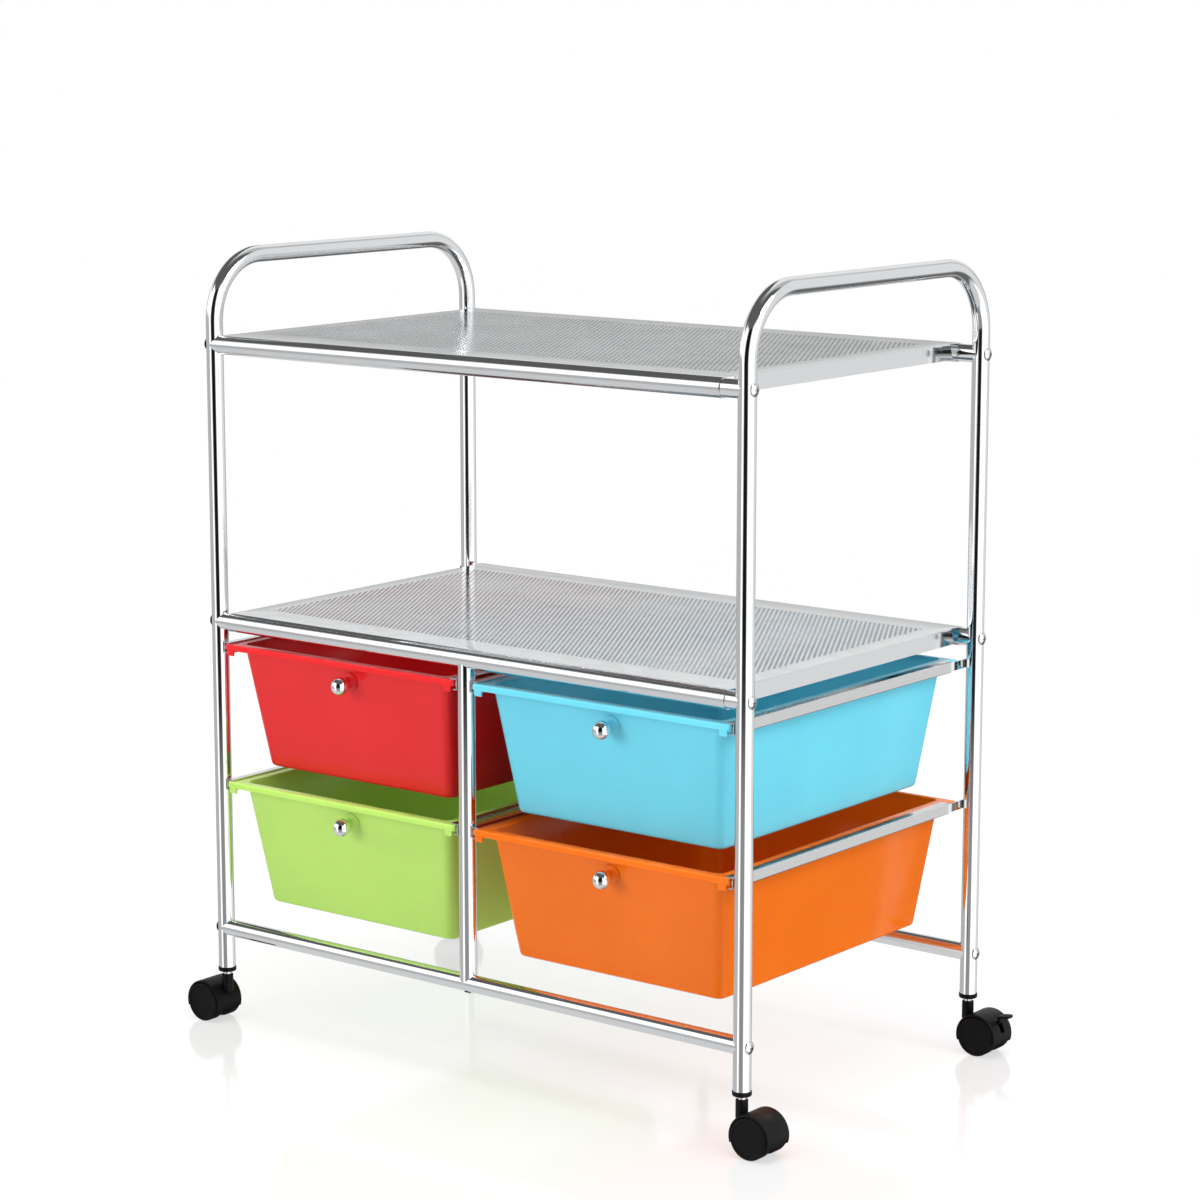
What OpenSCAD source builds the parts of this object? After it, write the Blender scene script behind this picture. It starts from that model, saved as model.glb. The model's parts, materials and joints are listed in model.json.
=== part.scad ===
// Rolling drawer cart: a tube frame with two sheet shelves, four drawers that hang
// in folded runners, and four twin-wheel casters, the rear pair with brakes.
// Millimetres. X runs to the right, Y to the back and Z up from the floor.

/* [Frame tubes] */
// Outer diameter of every frame tube
tube_d = 16; // [14:0.5:18]
// Wall thickness of the frame tubes
tube_wall = 1; // [0.8:0.1:1.4]
// Distance between the left and right leg centre lines
leg_span_x = 610; // [570:5:680]
// Distance between the front and rear leg centre lines
leg_span_y = 364; // [340:2:420]
// Height of the handle bar's centre line
handle_z = 736; // [722:1:800]
// Centre line radius of the bends between legs and handle bar
handle_bend_r = 60; // [40:2:64]
// Height of the open leg ends
leg_end_z = 54.5; // [53:0.5:60]
// Distance from the handle bar's centre line down to the top rails' centre line
top_rail_drop = 81; // [74:1:130]
// Height of the middle rails' centre line
mid_rail_z = 393; // [389:1:437]
// Height of the bottom rails' centre line
bottom_rail_z = 93.5; // [78:0.5:95]

/* [Shelves] */
// Gap between each shelf's end flange and the leg, with the shelf in the middle
shelf_end_gap = 8; // [8:0.5:30]
// Thickness of the shelf sheet
shelf_sheet = 0.8; // [0.6:0.1:1]
// Height of the folded side flanges
shelf_flange_h = 15; // [10:1:20]
// Distance that the top shelf sits left of the middle
top_shelf_offset = 7; // [0:0.5:7]
// Angle that the rolled edges wrap around their rails, from the top outwards
roll_angle = 215; // [180:5:230]
// Number of openings along each shelf
opening_columns = 12; // [6:1:12]
// Number of openings across each shelf
opening_lines = 7; // [4:1:8]
// Open share of the grid's length and width
opening_share = 0.57; // [0.4:0.01:0.7]

/* [Runners] */
// Height of the runner channel
runner_h = 10.5; // [9:0.5:12]
// Depth of the runner channel, outside the web to the lips' edges
runner_depth = 8; // [7:0.5:9.5]
// Thickness of the runner sheet
runner_sheet = 1; // [0.8:0.1:1.2]
// Distance from the end of the channel to the rear leg's centre line
runner_back_gap = 27; // [24:1:44]
// Distance from the middle rails' axis down to the middle of the upper runners
upper_runner_drop = 24.3; // [22:0.1:26]
// Distance between the upper and the lower runners
runner_pitch = 133.2; // [124:0.1:136]

/* [Drawers] */
// Distance from the drawer's rim to the rear leg's centre line
drawer_back_gap = 10; // [9:0.5:30]
// Height from the rim to the underside
drawer_h = 118.6; // [90:0.1:122]
// Wall thickness of the drawer
drawer_wall = 2; // [1.6:0.1:2.4]
// Width of the rim's wing on each side
wing_w = 13.5; // [12:0.5:16]
// Overhang of the rim in front of the front wall
rim_front_overhang = 8.3; // [6:0.1:10]
// Overhang of the rim behind the back wall
rim_back_overhang = 3; // [2.5:0.1:6]
// Inward lean of each side wall from rim to underside
side_lean = 14; // [0:0.5:20]
// Inward lean of the front wall from rim to underside
front_lean = 20; // [0:0.5:26]
// Inward lean of the back wall from rim to underside
back_lean = 19; // [0:0.5:26]
// Radius of the drawer's upright corners
drawer_corner_r = 9; // [6:0.5:14]
// Height of the rim's turned-down lip
rim_lip_h = 5.8; // [4:0.1:6.5]

/* [Knobs] */
// Diameter of the knob's ball
knob_d = 16; // [12:0.5:20]
// Distance from the front wall to the middle of the ball
knob_reach = 14.8; // [12:0.1:22]
// Distance from the rim down to the knob's foot
knob_drop = 19.5; // [18:0.5:40]
// Distance that the knobs sit right of the drawers' middle
knob_offset = 7.5; // [0:0.5:15]
// Diameter of the knob's foot
knob_foot_d = 18; // [12:0.5:20]

/* [Casters] */
// Diameter of the caster wheels
wheel_d = 37; // [36:1:42]
// Width over both wheels
caster_w = 35; // [32:1:40]
// Distance from the stem axis to the wheel axle
caster_trail = 18; // [15:0.5:20]
// Diameter of the wheel axles
axle_d = 5; // [4:0.5:6]
// Diameter of the stem inside the leg socket
stem_d = 8; // [7:0.5:9]
// Angle that the brake levers press down
brake_angle = 16; // [10:1:16]

/* [Hidden] */
$fn = 64;
hull_fn = 32;

// Clearances
cope_gap = 0.05;
slide_gap = 0.3;
running_gap = 0.05;
press_gap = 0.02;

// Frame
tube_r = tube_d / 2;
bore_r = tube_r - tube_wall;
leg_x = leg_span_x / 2;
leg_y = leg_span_y / 2;
bend_z = handle_z - handle_bend_r;
top_rail_z = handle_z - top_rail_drop;

// Screws and rivets
screw_d = 4;
screw_hole_d = screw_d + 0.4;
rail_head_d = 11.5;
rail_head_h = 2.2;
post_head_d = 8;
post_head_h = 2;
cross_w = 1.2;
cross_l = 5;
cross_depth = 1;
rail_plug_l = 20;
post_plug_l = 10;
screw_bite = 16;
rivet_d = 4;
rivet_hole_d = rivet_d + 0.2;
rivet_head_d = 7;
rivet_head_h = 1;
rivet_tail_d = 5;
rivet_tail_h = 1.4;

// Shelves: the rolled edge lies around the rail, and its top is level with the sheet
roll_gap = 0.1;
roll_in_r = tube_r + roll_gap;
roll_out_r = roll_in_r + shelf_sheet;
shelf_l = leg_span_x - tube_d - 2 * shelf_end_gap;
flange_end_gap = 7;
flange_half_y = leg_y - tube_r - flange_end_gap;
shelf_bend_r = 1.6;

// The grid of openings keeps a plain border along the ends and the rolled edges
grid_end_border = 19;
grid_side_border = 32.5;
cell_l = (shelf_l - 2 * grid_end_border) / opening_columns;
cell_w = (leg_span_y - 2 * grid_side_border) / opening_lines;

// Runners
runner_bend_r = 1.2;
runner_front_over = 4;
runner_front_y = -leg_y - runner_front_over;
runner_back_y = leg_y - runner_back_gap;
runner_tab_h = 8;
runner_tab_over = 5;
upper_runner_z = mid_rail_z - upper_runner_drop;
lower_runner_z = upper_runner_z - runner_pitch;

// Drawers: the bay runs from the centre post to the leg, and the wings ride in its channels
bay_w = leg_x - tube_d;
bay_x = tube_r + bay_w / 2;
wing_end_gap = 2;
rim_half_x = bay_w / 2 - runner_sheet - wing_end_gap;
wall_half_x = rim_half_x - wing_w;
rim_t = 2;
rim_corner_r = 3;
rim_front_y = runner_front_y - slide_gap - rim_t;
rim_back_y = leg_y - drawer_back_gap;
wall_front_y = rim_front_y + rim_front_overhang;
wall_back_y = rim_back_y - rim_back_overhang;
wing_depth = runner_h - 2 * runner_sheet - 2 * slide_gap;
wing_setback = 16;
rim_tab_w = 8;
rim_tab_inset = 3;
rim_tab_below = 5;
bottom_edge_r = 3.5;
least_corner_r = 0.5;
slice = 0.01;
above = 1;

// Knobs: the axis is square to the leaning front wall
wall_tilt = atan(front_lean / drawer_h);
knob_base_y = wall_front_y + front_lean * knob_drop / drawer_h;
knob_foot_h = 1.2;
knob_flare_h = 6;
knob_neck_d = 8;
knob_screw_depth = 9;
knob_screw_head_d = 7.5;
knob_screw_head_h = 2;

// Casters
wheel_r = wheel_d / 2;
wheel_half_w = caster_w / 2;
hood_web_half = 4.5;
wheel_web_gap = 0.7;
wheel_inner_y = hood_web_half + wheel_web_gap;
wheel_edge_r = 1.5;
wheel_rim_t = 4;
wheel_dish_r = wheel_r - wheel_rim_t;
wheel_dish_depth = 1;
wheel_cap_t = 3;
hood_gap = 0.9;
hood_wall = 1.6;
hood_in_r = wheel_r + hood_gap;
hood_out_r = hood_in_r + hood_wall;
hood_mid_r = hood_in_r + hood_wall / 2;
hood_inset = 1.4;
hood_half_w = wheel_half_w - hood_inset;
hood_below = 18;
hood_hub_wall = 3;
hood_hub_r = axle_d / 2 + hood_hub_wall;

// Stems and leg sockets
neck_d = 11;
neck_floor = 4;
socket_flange_h = 4.5;
socket_flange_over = 0.6;
socket_flange_r = tube_r + socket_flange_over;
socket_l = 36;
socket_end_z = leg_end_z - socket_flange_h;
stem_show = 3.2;
stem_end_gap = 2;
stem_grip_l = socket_l - stem_end_gap;
stem_step = 1;
stem_pin_r = stem_d / 2 - stem_step;
neck_top_z = socket_end_z - stem_show;
neck_bottom_z = wheel_r + hood_out_r / 2;
stem_pin_l = neck_top_z - neck_floor - neck_bottom_z;

// Brakes
brake_slot_half = 3.2;
brake_half = brake_slot_half - slide_gap;
brake_pin_d = 3;
brake_boss_r = 3.6;
brake_boss_inset = 2.7;
brake_arm_t = 3;
brake_arm_gap = 0.6;
brake_dir = 38;
brake_pivot_r = hood_in_r - brake_boss_r - brake_boss_inset;
brake_pivot_x = caster_trail + brake_pivot_r * cos(brake_dir);
brake_pivot_z = wheel_r + brake_pivot_r * sin(brake_dir);
brake_paddle_gap = 1.2;
brake_paddle_start = hood_out_r + brake_paddle_gap - brake_pivot_r;
brake_paddle_l = 14;
brake_paddle_w = 11;
brake_paddle_t = 2.4;

// A side of -1 is left or front, and 1 is right or rear
module facing(side) {
    mirror([side < 0 ? 1 : 0, 0, 0]) children();
}

// Turns a flat outline into a bar along X: its x becomes Y, and its y becomes Z
module bar_along_x(length) {
    rotate([90, 0, 90]) linear_extrude(height = length, center = true) children();
}

module round_along_x(r, length) {
    rotate([0, 90, 0]) cylinder(r = r, h = length, center = true);
}

// Domed screw head with a cross recess, rising along Z from its seat
module cross_head(d, h) {
    dome_r = (d * d / 4 + h * h) / (2 * h);
    difference() {
        intersection() {
            translate([0, 0, h - dome_r]) sphere(r = dome_r);
            cylinder(d = d, h = h);
        }
        for (turn = [0, 90])
            rotate([0, 0, turn])
                translate([-cross_l / 2, -cross_w / 2, h - cross_depth])
                    cube([cross_l, cross_w, cross_depth + above]);
    }
}

// A frame's centre line as a solid bar: two legs, two bends and the handle bar
module side_loop(r, below) {
    for (side = [-1, 1])
        mirror([0, side < 0 ? 1 : 0, 0]) {
            translate([0, leg_y, leg_end_z - below]) cylinder(r = r, h = bend_z - leg_end_z + below);
            translate([0, leg_y - handle_bend_r, bend_z])
                rotate([90, 0, 90])
                    rotate_extrude(angle = 90)
                        translate([handle_bend_r, 0]) circle(r = r);
        }
    translate([0, 0, handle_z])
        rotate([90, 0, 0]) cylinder(r = r, h = leg_span_y - 2 * handle_bend_r, center = true);
}

module side_frame(side) {
    color("gainsboro")
        translate([side * leg_x, 0, 0])
            facing(side)
                difference() {
                    side_loop(tube_r, 0);
                    side_loop(bore_r, above);
                    for (y = [-leg_y, leg_y]) {
                        for (z = [top_rail_z, mid_rail_z, bottom_rail_z])
                            translate([0, y, z]) round_along_x(screw_hole_d / 2, tube_d + above);
                        for (z = [upper_runner_z, lower_runner_z])
                            translate([-tube_r, y, z]) round_along_x(rivet_hole_d / 2, tube_r);
                    }
                }
}

// A rail between the legs. Its post hole goes through both walls or only the lower one.
module rail(y, z, post_hole) {
    color("gainsboro")
        difference() {
            translate([0, y, z]) round_along_x(tube_r, leg_span_x);
            translate([0, y, z]) round_along_x(bore_r, leg_span_x + above);
            for (side = [-1, 1])
                translate([side * leg_x, y, z - tube_d])
                    cylinder(r = tube_r + cope_gap, h = 2 * tube_d);
            if (post_hole == "through")
                translate([0, y, z - tube_d]) cylinder(d = screw_hole_d, h = 2 * tube_d);
            if (post_hole == "lower")
                translate([0, y, z - tube_d]) cylinder(d = screw_hole_d, h = tube_d);
        }
}

// A centre post, cut to a saddle on the bottom rail and under the lower shelf's rolled edge
module centre_post(y) {
    color("gainsboro")
        difference() {
            translate([0, y, bottom_rail_z]) cylinder(r = tube_r, h = mid_rail_z - bottom_rail_z);
            translate([0, y, bottom_rail_z - above])
                cylinder(r = bore_r, h = mid_rail_z - bottom_rail_z + 2 * above);
            translate([0, y, bottom_rail_z]) round_along_x(tube_r + cope_gap, 2 * tube_d);
            translate([0, y, mid_rail_z]) round_along_x(roll_out_r + cope_gap, 2 * tube_d);
            for (z = [upper_runner_z, lower_runner_z])
                translate([0, y, z]) round_along_x(rivet_hole_d / 2, tube_d + above);
        }
}

// A plug for a tube end, from its outer face at the origin along Z
module end_plug(length) {
    difference() {
        cylinder(r = bore_r - press_gap, h = length);
        translate([0, 0, -above]) cylinder(d = screw_d + 2 * running_gap, h = length + 2 * above);
    }
}

module rail_end_plugs() {
    color("dimgray")
        for (side = [-1, 1], y = [-leg_y, leg_y], z = [top_rail_z, mid_rail_z, bottom_rail_z])
            translate([side * (leg_x - tube_r - cope_gap), y, z])
                rotate([0, -side * 90, 0]) end_plug(rail_plug_l);
}

module rail_screws() {
    color("silver")
        for (side = [-1, 1], y = [-leg_y, leg_y], z = [top_rail_z, mid_rail_z, bottom_rail_z])
            translate([side * (leg_x + tube_r), y, z])
                rotate([0, side * 90, 0]) {
                    cross_head(rail_head_d, rail_head_h);
                    translate([0, 0, -tube_d - screw_bite])
                        cylinder(d = screw_d, h = tube_d + screw_bite);
                }
}

module post_end_plugs() {
    color("dimgray")
        for (y = [-leg_y, leg_y]) {
            translate([0, y, bottom_rail_z + tube_r + cope_gap]) end_plug(post_plug_l);
            translate([0, y, mid_rail_z - roll_out_r - cope_gap])
                rotate([180, 0, 0]) end_plug(post_plug_l);
        }
}

// Below, a screw up through the bottom rail. Above, a stud whose head lies inside the middle rail.
module post_screws() {
    stud_seat = sqrt(bore_r * bore_r - rivet_tail_d * rivet_tail_d / 4) - running_gap;
    color("silver")
        for (y = [-leg_y, leg_y]) {
            translate([0, y, bottom_rail_z - tube_r]) {
                rotate([180, 0, 0]) cross_head(post_head_d, post_head_h);
                cylinder(d = screw_d, h = tube_d + screw_bite);
            }
            translate([0, y, mid_rail_z - stud_seat]) {
                cylinder(d = rivet_tail_d, h = rivet_tail_h);
                translate([0, 0, -screw_bite]) cylinder(d = screw_d, h = screw_bite);
            }
        }
}

// Cross section of a rolled edge around a rail at the origin, open towards the shelf
module rolled_edge() {
    reach = 2 * roll_out_r;
    difference() {
        circle(r = roll_out_r);
        circle(r = roll_in_r);
        polygon([
            [0, 0], [0, reach], [reach, reach], [reach, -reach],
            [-reach * sin(roll_angle), reach * cos(roll_angle)]
        ]);
    }
}

module shelf_section() {
    for (side = [0, 1])
        mirror([side, 0]) translate([-leg_y, 0]) rolled_edge();
    translate([-leg_y, roll_in_r]) square([leg_span_y, shelf_sheet]);
}

// The grid of openings in a shelf's sheet, as one flat outline about its middle
module shelf_openings() {
    for (column = [0:opening_columns - 1], line = [0:opening_lines - 1])
        translate([
            (column - (opening_columns - 1) / 2) * cell_l,
            (line - (opening_lines - 1) / 2) * cell_w
        ])
            square([cell_l * opening_share, cell_w * opening_share], center = true);
}

// A sheet shelf on two rails, seen from its middle at the height of the rail axes
module shelf(x, z) {
    corner = [shelf_bend_r + above, 2 * flange_half_y, shelf_bend_r + above];
    end_x = shelf_l / 2;
    color("lightgray")
        translate([x, 0, z])
            difference() {
                union() {
                    bar_along_x(shelf_l) shelf_section();
                    for (side = [-1, 1])
                        facing(side)
                            translate([end_x - shelf_sheet, -flange_half_y, roll_out_r - shelf_flange_h])
                                cube([shelf_sheet, 2 * flange_half_y, shelf_flange_h]);
                }
                for (side = [-1, 1])
                    facing(side)
                        translate([end_x - shelf_bend_r, -flange_half_y, roll_out_r - shelf_bend_r])
                            difference() {
                                cube(corner);
                                translate([0, -above, 0])
                                    rotate([-90, 0, 0])
                                        cylinder(r = shelf_bend_r, h = corner.y + 2 * above);
                            }
                translate([0, 0, roll_in_r - above])
                    linear_extrude(height = shelf_sheet + 2 * above) shelf_openings();
                for (y = [-leg_y, leg_y])
                    translate([0, y, -tube_d]) cylinder(d = screw_hole_d, h = tube_d);
            }
}

// Channel section with its web on the left and rounded folds
module channel_section() {
    r = runner_bend_r;
    difference() {
        union() {
            translate([r, 0]) square([runner_depth - r, runner_h]);
            translate([0, r]) square([runner_depth, runner_h - 2 * r]);
            translate([r, r]) circle(r = r);
            translate([r, runner_h - r]) circle(r = r);
        }
        translate([runner_sheet, runner_sheet]) square([runner_depth, runner_h - 2 * runner_sheet]);
    }
}

// A runner with its web against x = 0 and its lips towards +X, and a flat tab at the rear leg
module runner(side, outer, z) {
    web_x = outer ? side * (leg_x - tube_r) : side * tube_r;
    opening = outer ? -side : side;
    channel_l = runner_back_y - runner_front_y;
    tab_l = runner_back_gap + runner_tab_over;
    color("silver")
        translate([web_x, 0, z])
            facing(opening)
                difference() {
                    union() {
                        translate([0, runner_back_y, -runner_h / 2])
                            rotate([90, 0, 0]) linear_extrude(height = channel_l) channel_section();
                        translate([0, runner_back_y - above, -runner_tab_h / 2])
                            cube([runner_sheet, tab_l + above, runner_tab_h]);
                    }
                    for (y = [-leg_y, leg_y])
                        translate([0, y, 0]) round_along_x(rivet_hole_d / 2, 2 * runner_sheet + above);
                }
}

// A rivet whose head seats on the runner's web, with its tail inside the tube
module rivet() {
    tail_x = tube_r - sqrt(bore_r * bore_r - rivet_tail_d * rivet_tail_d / 4) + running_gap;
    rotate([0, -90, 0]) {
        cylinder(d = rivet_d, h = tail_x + rivet_tail_h / 2);
        translate([0, 0, tail_x]) cylinder(d = rivet_tail_d, h = rivet_tail_h);
    }
    rotate([0, 90, 0]) {
        cylinder(d = rivet_d, h = runner_sheet + rivet_head_h / 2);
        translate([0, 0, runner_sheet]) cylinder(d = rivet_head_d, h = rivet_head_h);
    }
}

module runner_rivets() {
    color("silver")
        for (side = [-1, 1], y = [-leg_y, leg_y], z = [upper_runner_z, lower_runner_z]) {
            translate([side * tube_r, y, z]) facing(side) rivet();
            translate([side * (leg_x - tube_r), y, z]) facing(-side) rivet();
        }
}

module rounded_rectangle(half_x, y0, y1, r) {
    for (x = [-half_x + r, half_x - r], y = [y0 + r, y1 - r])
        translate([x, y]) circle(r = r);
    translate([-half_x + r, y0]) square([2 * (half_x - r), y1 - y0]);
    translate([-half_x, y0 + r]) square([2 * half_x, y1 - y0 - 2 * r]);
}

// One level of the leaning tray, z below the rim, drawn in by inset on every side
module tray_level(z, inset) {
    sink = -z / drawer_h;
    half_x = wall_half_x - side_lean * sink - inset;
    front_y = wall_front_y + front_lean * sink + inset;
    back_y = wall_back_y - back_lean * sink - inset;
    r = max(drawer_corner_r - inset, least_corner_r);
    for (x = [-half_x + r, half_x - r], y = [front_y + r, back_y - r])
        translate([x, y, z]) cylinder(r = r, h = slice, $fn = hull_fn);
}

// Solid tray shape with a rounded lower edge, from the rim plane down to the given floor
module tray(inset, top_z, floor_z) {
    r = bottom_edge_r;
    hull() {
        tray_level(top_z, inset);
        for (turn = [0, 30, 60, 90])
            tray_level(floor_z + r * (1 - sin(turn)), inset + r * (1 - cos(turn)));
    }
}

module drawer_rim() {
    lip_r = rim_corner_r - rim_t / 2;
    translate([0, 0, -rim_t])
        linear_extrude(height = rim_t)
            rounded_rectangle(rim_half_x, rim_front_y, rim_back_y, rim_corner_r);
    translate([0, 0, -rim_lip_h])
        linear_extrude(height = rim_lip_h)
            difference() {
                rounded_rectangle(rim_half_x, rim_front_y, rim_back_y, rim_corner_r);
                rounded_rectangle(rim_half_x - rim_t, rim_front_y + rim_t, rim_back_y - rim_t, lip_r);
            }
    for (side = [-1, 1])
        facing(side) {
            translate([rim_half_x - rim_t, rim_front_y + wing_setback, -wing_depth])
                cube([rim_t, rim_back_y - rim_corner_r - rim_front_y - wing_setback, wing_depth]);
            translate([rim_half_x - rim_tab_inset - rim_tab_w, rim_front_y, -rim_lip_h - rim_tab_below])
                cube([rim_tab_w, rim_t, rim_lip_h + rim_tab_below]);
        }
}

// A drawer with its rim's top plane at the origin's height
module drawer_body() {
    difference() {
        union() {
            tray(0, -rim_t / 2, -drawer_h);
            drawer_rim();
        }
        tray(drawer_wall, above, -drawer_h + drawer_wall);
        at_knob() translate([0, 0, -3 * drawer_wall])
            cylinder(d = screw_hole_d, h = 6 * drawer_wall);
    }
}

module at_drawer(side, runner_z) {
    translate([side * bay_x, 0, runner_z + runner_h / 2 - runner_sheet - slide_gap]) children();
}

module drawer(side, runner_z, paint) {
    color(paint) at_drawer(side, runner_z) drawer_body();
}

// On the front wall's outer face, with Z square to the wall and pointing out
module at_knob() {
    translate([knob_offset, knob_base_y, -knob_drop]) rotate([90 + wall_tilt, 0, 0]) children();
}

// A ball on a short neck that flares out to a round foot
module knob(side, runner_z) {
    foot_r = knob_foot_d / 2;
    neck_r = knob_neck_d / 2;
    color("silver")
        at_drawer(side, runner_z)
            at_knob()
                difference() {
                    union() {
                        rotate_extrude()
                            polygon([
                                [0, 0], [foot_r, 0], [foot_r, knob_foot_h],
                                [neck_r, knob_flare_h], [neck_r, knob_reach], [0, knob_reach]
                            ]);
                        translate([0, 0, knob_reach]) sphere(d = knob_d);
                    }
                    translate([0, 0, -above])
                        cylinder(d = screw_d + 2 * running_gap, h = knob_screw_depth + above);
                }
}

module knob_screw(side, runner_z) {
    color("silver")
        at_drawer(side, runner_z)
            at_knob()
                translate([0, 0, -drawer_wall * cos(wall_tilt)]) {
                    cylinder(d = screw_d, h = drawer_wall + knob_screw_depth - above);
                    rotate([180, 0, 0]) cross_head(knob_screw_head_d, knob_screw_head_h);
                }
}

// At a caster's stem axis on the floor, with the wheels trailing towards +X
module at_caster(side, end) {
    translate([side * leg_x, end * leg_y, 0]) facing(side) children();
}

module leg_sockets() {
    color("black")
        for (side = [-1, 1], end = [-1, 1])
            at_caster(side, end)
                difference() {
                    translate([0, 0, socket_end_z]) {
                        cylinder(r = socket_flange_r, h = socket_flange_h);
                        cylinder(r = bore_r - press_gap, h = socket_l);
                    }
                    translate([0, 0, socket_end_z - above])
                        cylinder(d = stem_d + 2 * press_gap, h = socket_l + 2 * above);
                }
}

module caster_stems() {
    color("silver")
        for (side = [-1, 1], end = [-1, 1])
            at_caster(side, end) {
                translate([0, 0, neck_top_z + slide_gap])
                    cylinder(d = stem_d, h = stem_show + stem_grip_l);
                translate([0, 0, neck_top_z - stem_pin_l])
                    cylinder(r = stem_pin_r, h = stem_pin_l + above);
            }
}

// Outline of everything above the hood's lower edges, seen from the side with the axle at the origin
module hood_reach() {
    reach = 2 * hood_out_r;
    edge_x = hood_out_r * cos(hood_below);
    edge_z = -hood_out_r * sin(hood_below);
    polygon([
        [-reach, edge_z], [-edge_x, edge_z], [-hood_hub_r, -hood_hub_r],
        [hood_hub_r, -hood_hub_r], [edge_x, edge_z], [reach, edge_z],
        [reach, reach], [-reach, reach]
    ]);
}

// A disc's cross section pulled out along Y to the given half width, about the axle
module across_axle(half_w) {
    translate([caster_trail, half_w, wheel_r])
        rotate([90, 0, 0])
            linear_extrude(height = 2 * half_w) children();
}

// At the brake's pin, with X pointing out along the lever
module along_brake() {
    translate([brake_pivot_x, 0, brake_pivot_z]) rotate([0, -brake_dir, 0]) children();
}

// The opening through which the lever's arm leaves the hood, as wide as the arm's swing
module brake_window() {
    reach = 2 * hood_out_r;
    room = brake_arm_t / 2 + brake_arm_gap;
    along_brake()
        rotate([90, 0, 0])
            linear_extrude(height = 2 * brake_slot_half, center = true)
                union() {
                    circle(r = brake_boss_r + slide_gap);
                    polygon([
                        [0, room], [-room * sin(brake_angle), -room * cos(brake_angle)],
                        [
                            reach * cos(brake_angle) - room * sin(brake_angle),
                            -reach * sin(brake_angle) - room * cos(brake_angle)
                        ],
                        [reach, room]
                    ]);
                }
}

module hood(side, end, braked) {
    brake_bore = brake_pin_d + 2 * press_gap;
    color("black")
        at_caster(side, end)
            difference() {
                union() {
                    across_axle(hood_half_w)
                        intersection() {
                            difference() {
                                circle(r = hood_out_r);
                                circle(r = hood_in_r);
                            }
                            hood_reach();
                        }
                    across_axle(hood_web_half)
                        intersection() {
                            circle(r = hood_mid_r);
                            hood_reach();
                        }
                    difference() {
                        translate([0, 0, neck_bottom_z])
                            cylinder(d = neck_d, h = neck_top_z - neck_bottom_z);
                        across_axle(wheel_half_w) circle(r = hood_mid_r);
                    }
                }
                translate([0, 0, neck_top_z - stem_pin_l - slide_gap])
                    cylinder(r = stem_pin_r + running_gap, h = stem_pin_l + slide_gap + above);
                translate([caster_trail, 0, wheel_r])
                    rotate([90, 0, 0])
                        cylinder(d = axle_d + 2 * press_gap, h = 2 * wheel_half_w, center = true);
                if (braked) {
                    brake_window();
                    translate([brake_pivot_x, 0, brake_pivot_z])
                        rotate([90, 0, 0])
                            cylinder(d = brake_bore, h = 2 * hood_web_half + above, center = true);
                }
            }
}

module axle(side, end) {
    half_l = wheel_half_w - wheel_cap_t - slide_gap;
    color("silver")
        at_caster(side, end)
            translate([caster_trail, 0, wheel_r])
                rotate([90, 0, 0]) cylinder(d = axle_d, h = 2 * half_l, center = true);
}

// A wheel on the near (front) or far (rear) side of its hood, with a dished outer face
module wheel(side, end, hand) {
    bore = axle_d / 2 + running_gap;
    bore_end = wheel_half_w - wheel_cap_t;
    edge_r = wheel_r - wheel_edge_r;
    dish_y = wheel_half_w - wheel_dish_depth;
    color("#181818")
        at_caster(side, end)
            translate([caster_trail, 0, wheel_r])
                rotate([hand * -90, 0, 0])
                    rotate_extrude()
                        polygon([
                            [0, bore_end], [bore, bore_end], [bore, wheel_inner_y],
                            [edge_r, wheel_inner_y], [wheel_r, wheel_inner_y + wheel_edge_r],
                            [wheel_r, wheel_half_w - wheel_edge_r], [edge_r, wheel_half_w],
                            [wheel_dish_r, wheel_half_w], [wheel_dish_r - wheel_dish_depth, dish_y],
                            [0, dish_y]
                        ]);
}

module brake_lever(side) {
    tip_r = brake_paddle_w / 2;
    tip_x = brake_paddle_start + brake_paddle_l - tip_r;
    color("#202020")
        at_caster(side, 1)
            along_brake()
                difference() {
                    union() {
                        rotate([90, 0, 0]) cylinder(r = brake_boss_r, h = 2 * brake_half, center = true);
                        translate([0, -brake_half, -brake_arm_t / 2])
                            cube([tip_x, 2 * brake_half, brake_arm_t]);
                        translate([brake_paddle_start, -tip_r, -brake_arm_t / 2])
                            cube([tip_x - brake_paddle_start, brake_paddle_w, brake_paddle_t]);
                        translate([tip_x, 0, -brake_arm_t / 2])
                            cylinder(r = tip_r, h = brake_paddle_t);
                    }
                    rotate([90, 0, 0])
                        cylinder(d = brake_pin_d + 2 * running_gap, h = caster_w, center = true);
                }
}

module brake_pin(side) {
    color("silver")
        at_caster(side, 1)
            translate([brake_pivot_x, 0, brake_pivot_z])
                rotate([90, 0, 0]) cylinder(d = brake_pin_d, h = 2 * hood_web_half, center = true);
}

side_frame(-1);  // left_side_frame
side_frame(1);  // right_side_frame
rail(-leg_y, top_rail_z, "none");  // top_front_rail
rail(leg_y, top_rail_z, "none");  // top_rear_rail
rail(-leg_y, mid_rail_z, "lower");  // middle_front_rail
rail(leg_y, mid_rail_z, "lower");  // middle_rear_rail
rail(-leg_y, bottom_rail_z, "through");  // bottom_front_rail
rail(leg_y, bottom_rail_z, "through");  // bottom_rear_rail
centre_post(-leg_y);  // front_centre_post
centre_post(leg_y);  // rear_centre_post
rail_end_plugs();
rail_screws();
post_end_plugs();
post_screws();
shelf(-top_shelf_offset, top_rail_z);  // top_shelf
shelf(0, mid_rail_z);  // lower_shelf
runner(-1, true, upper_runner_z);  // upper_left_outer_runner
runner(-1, false, upper_runner_z);  // upper_left_centre_runner
runner(1, false, upper_runner_z);  // upper_right_centre_runner
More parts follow.
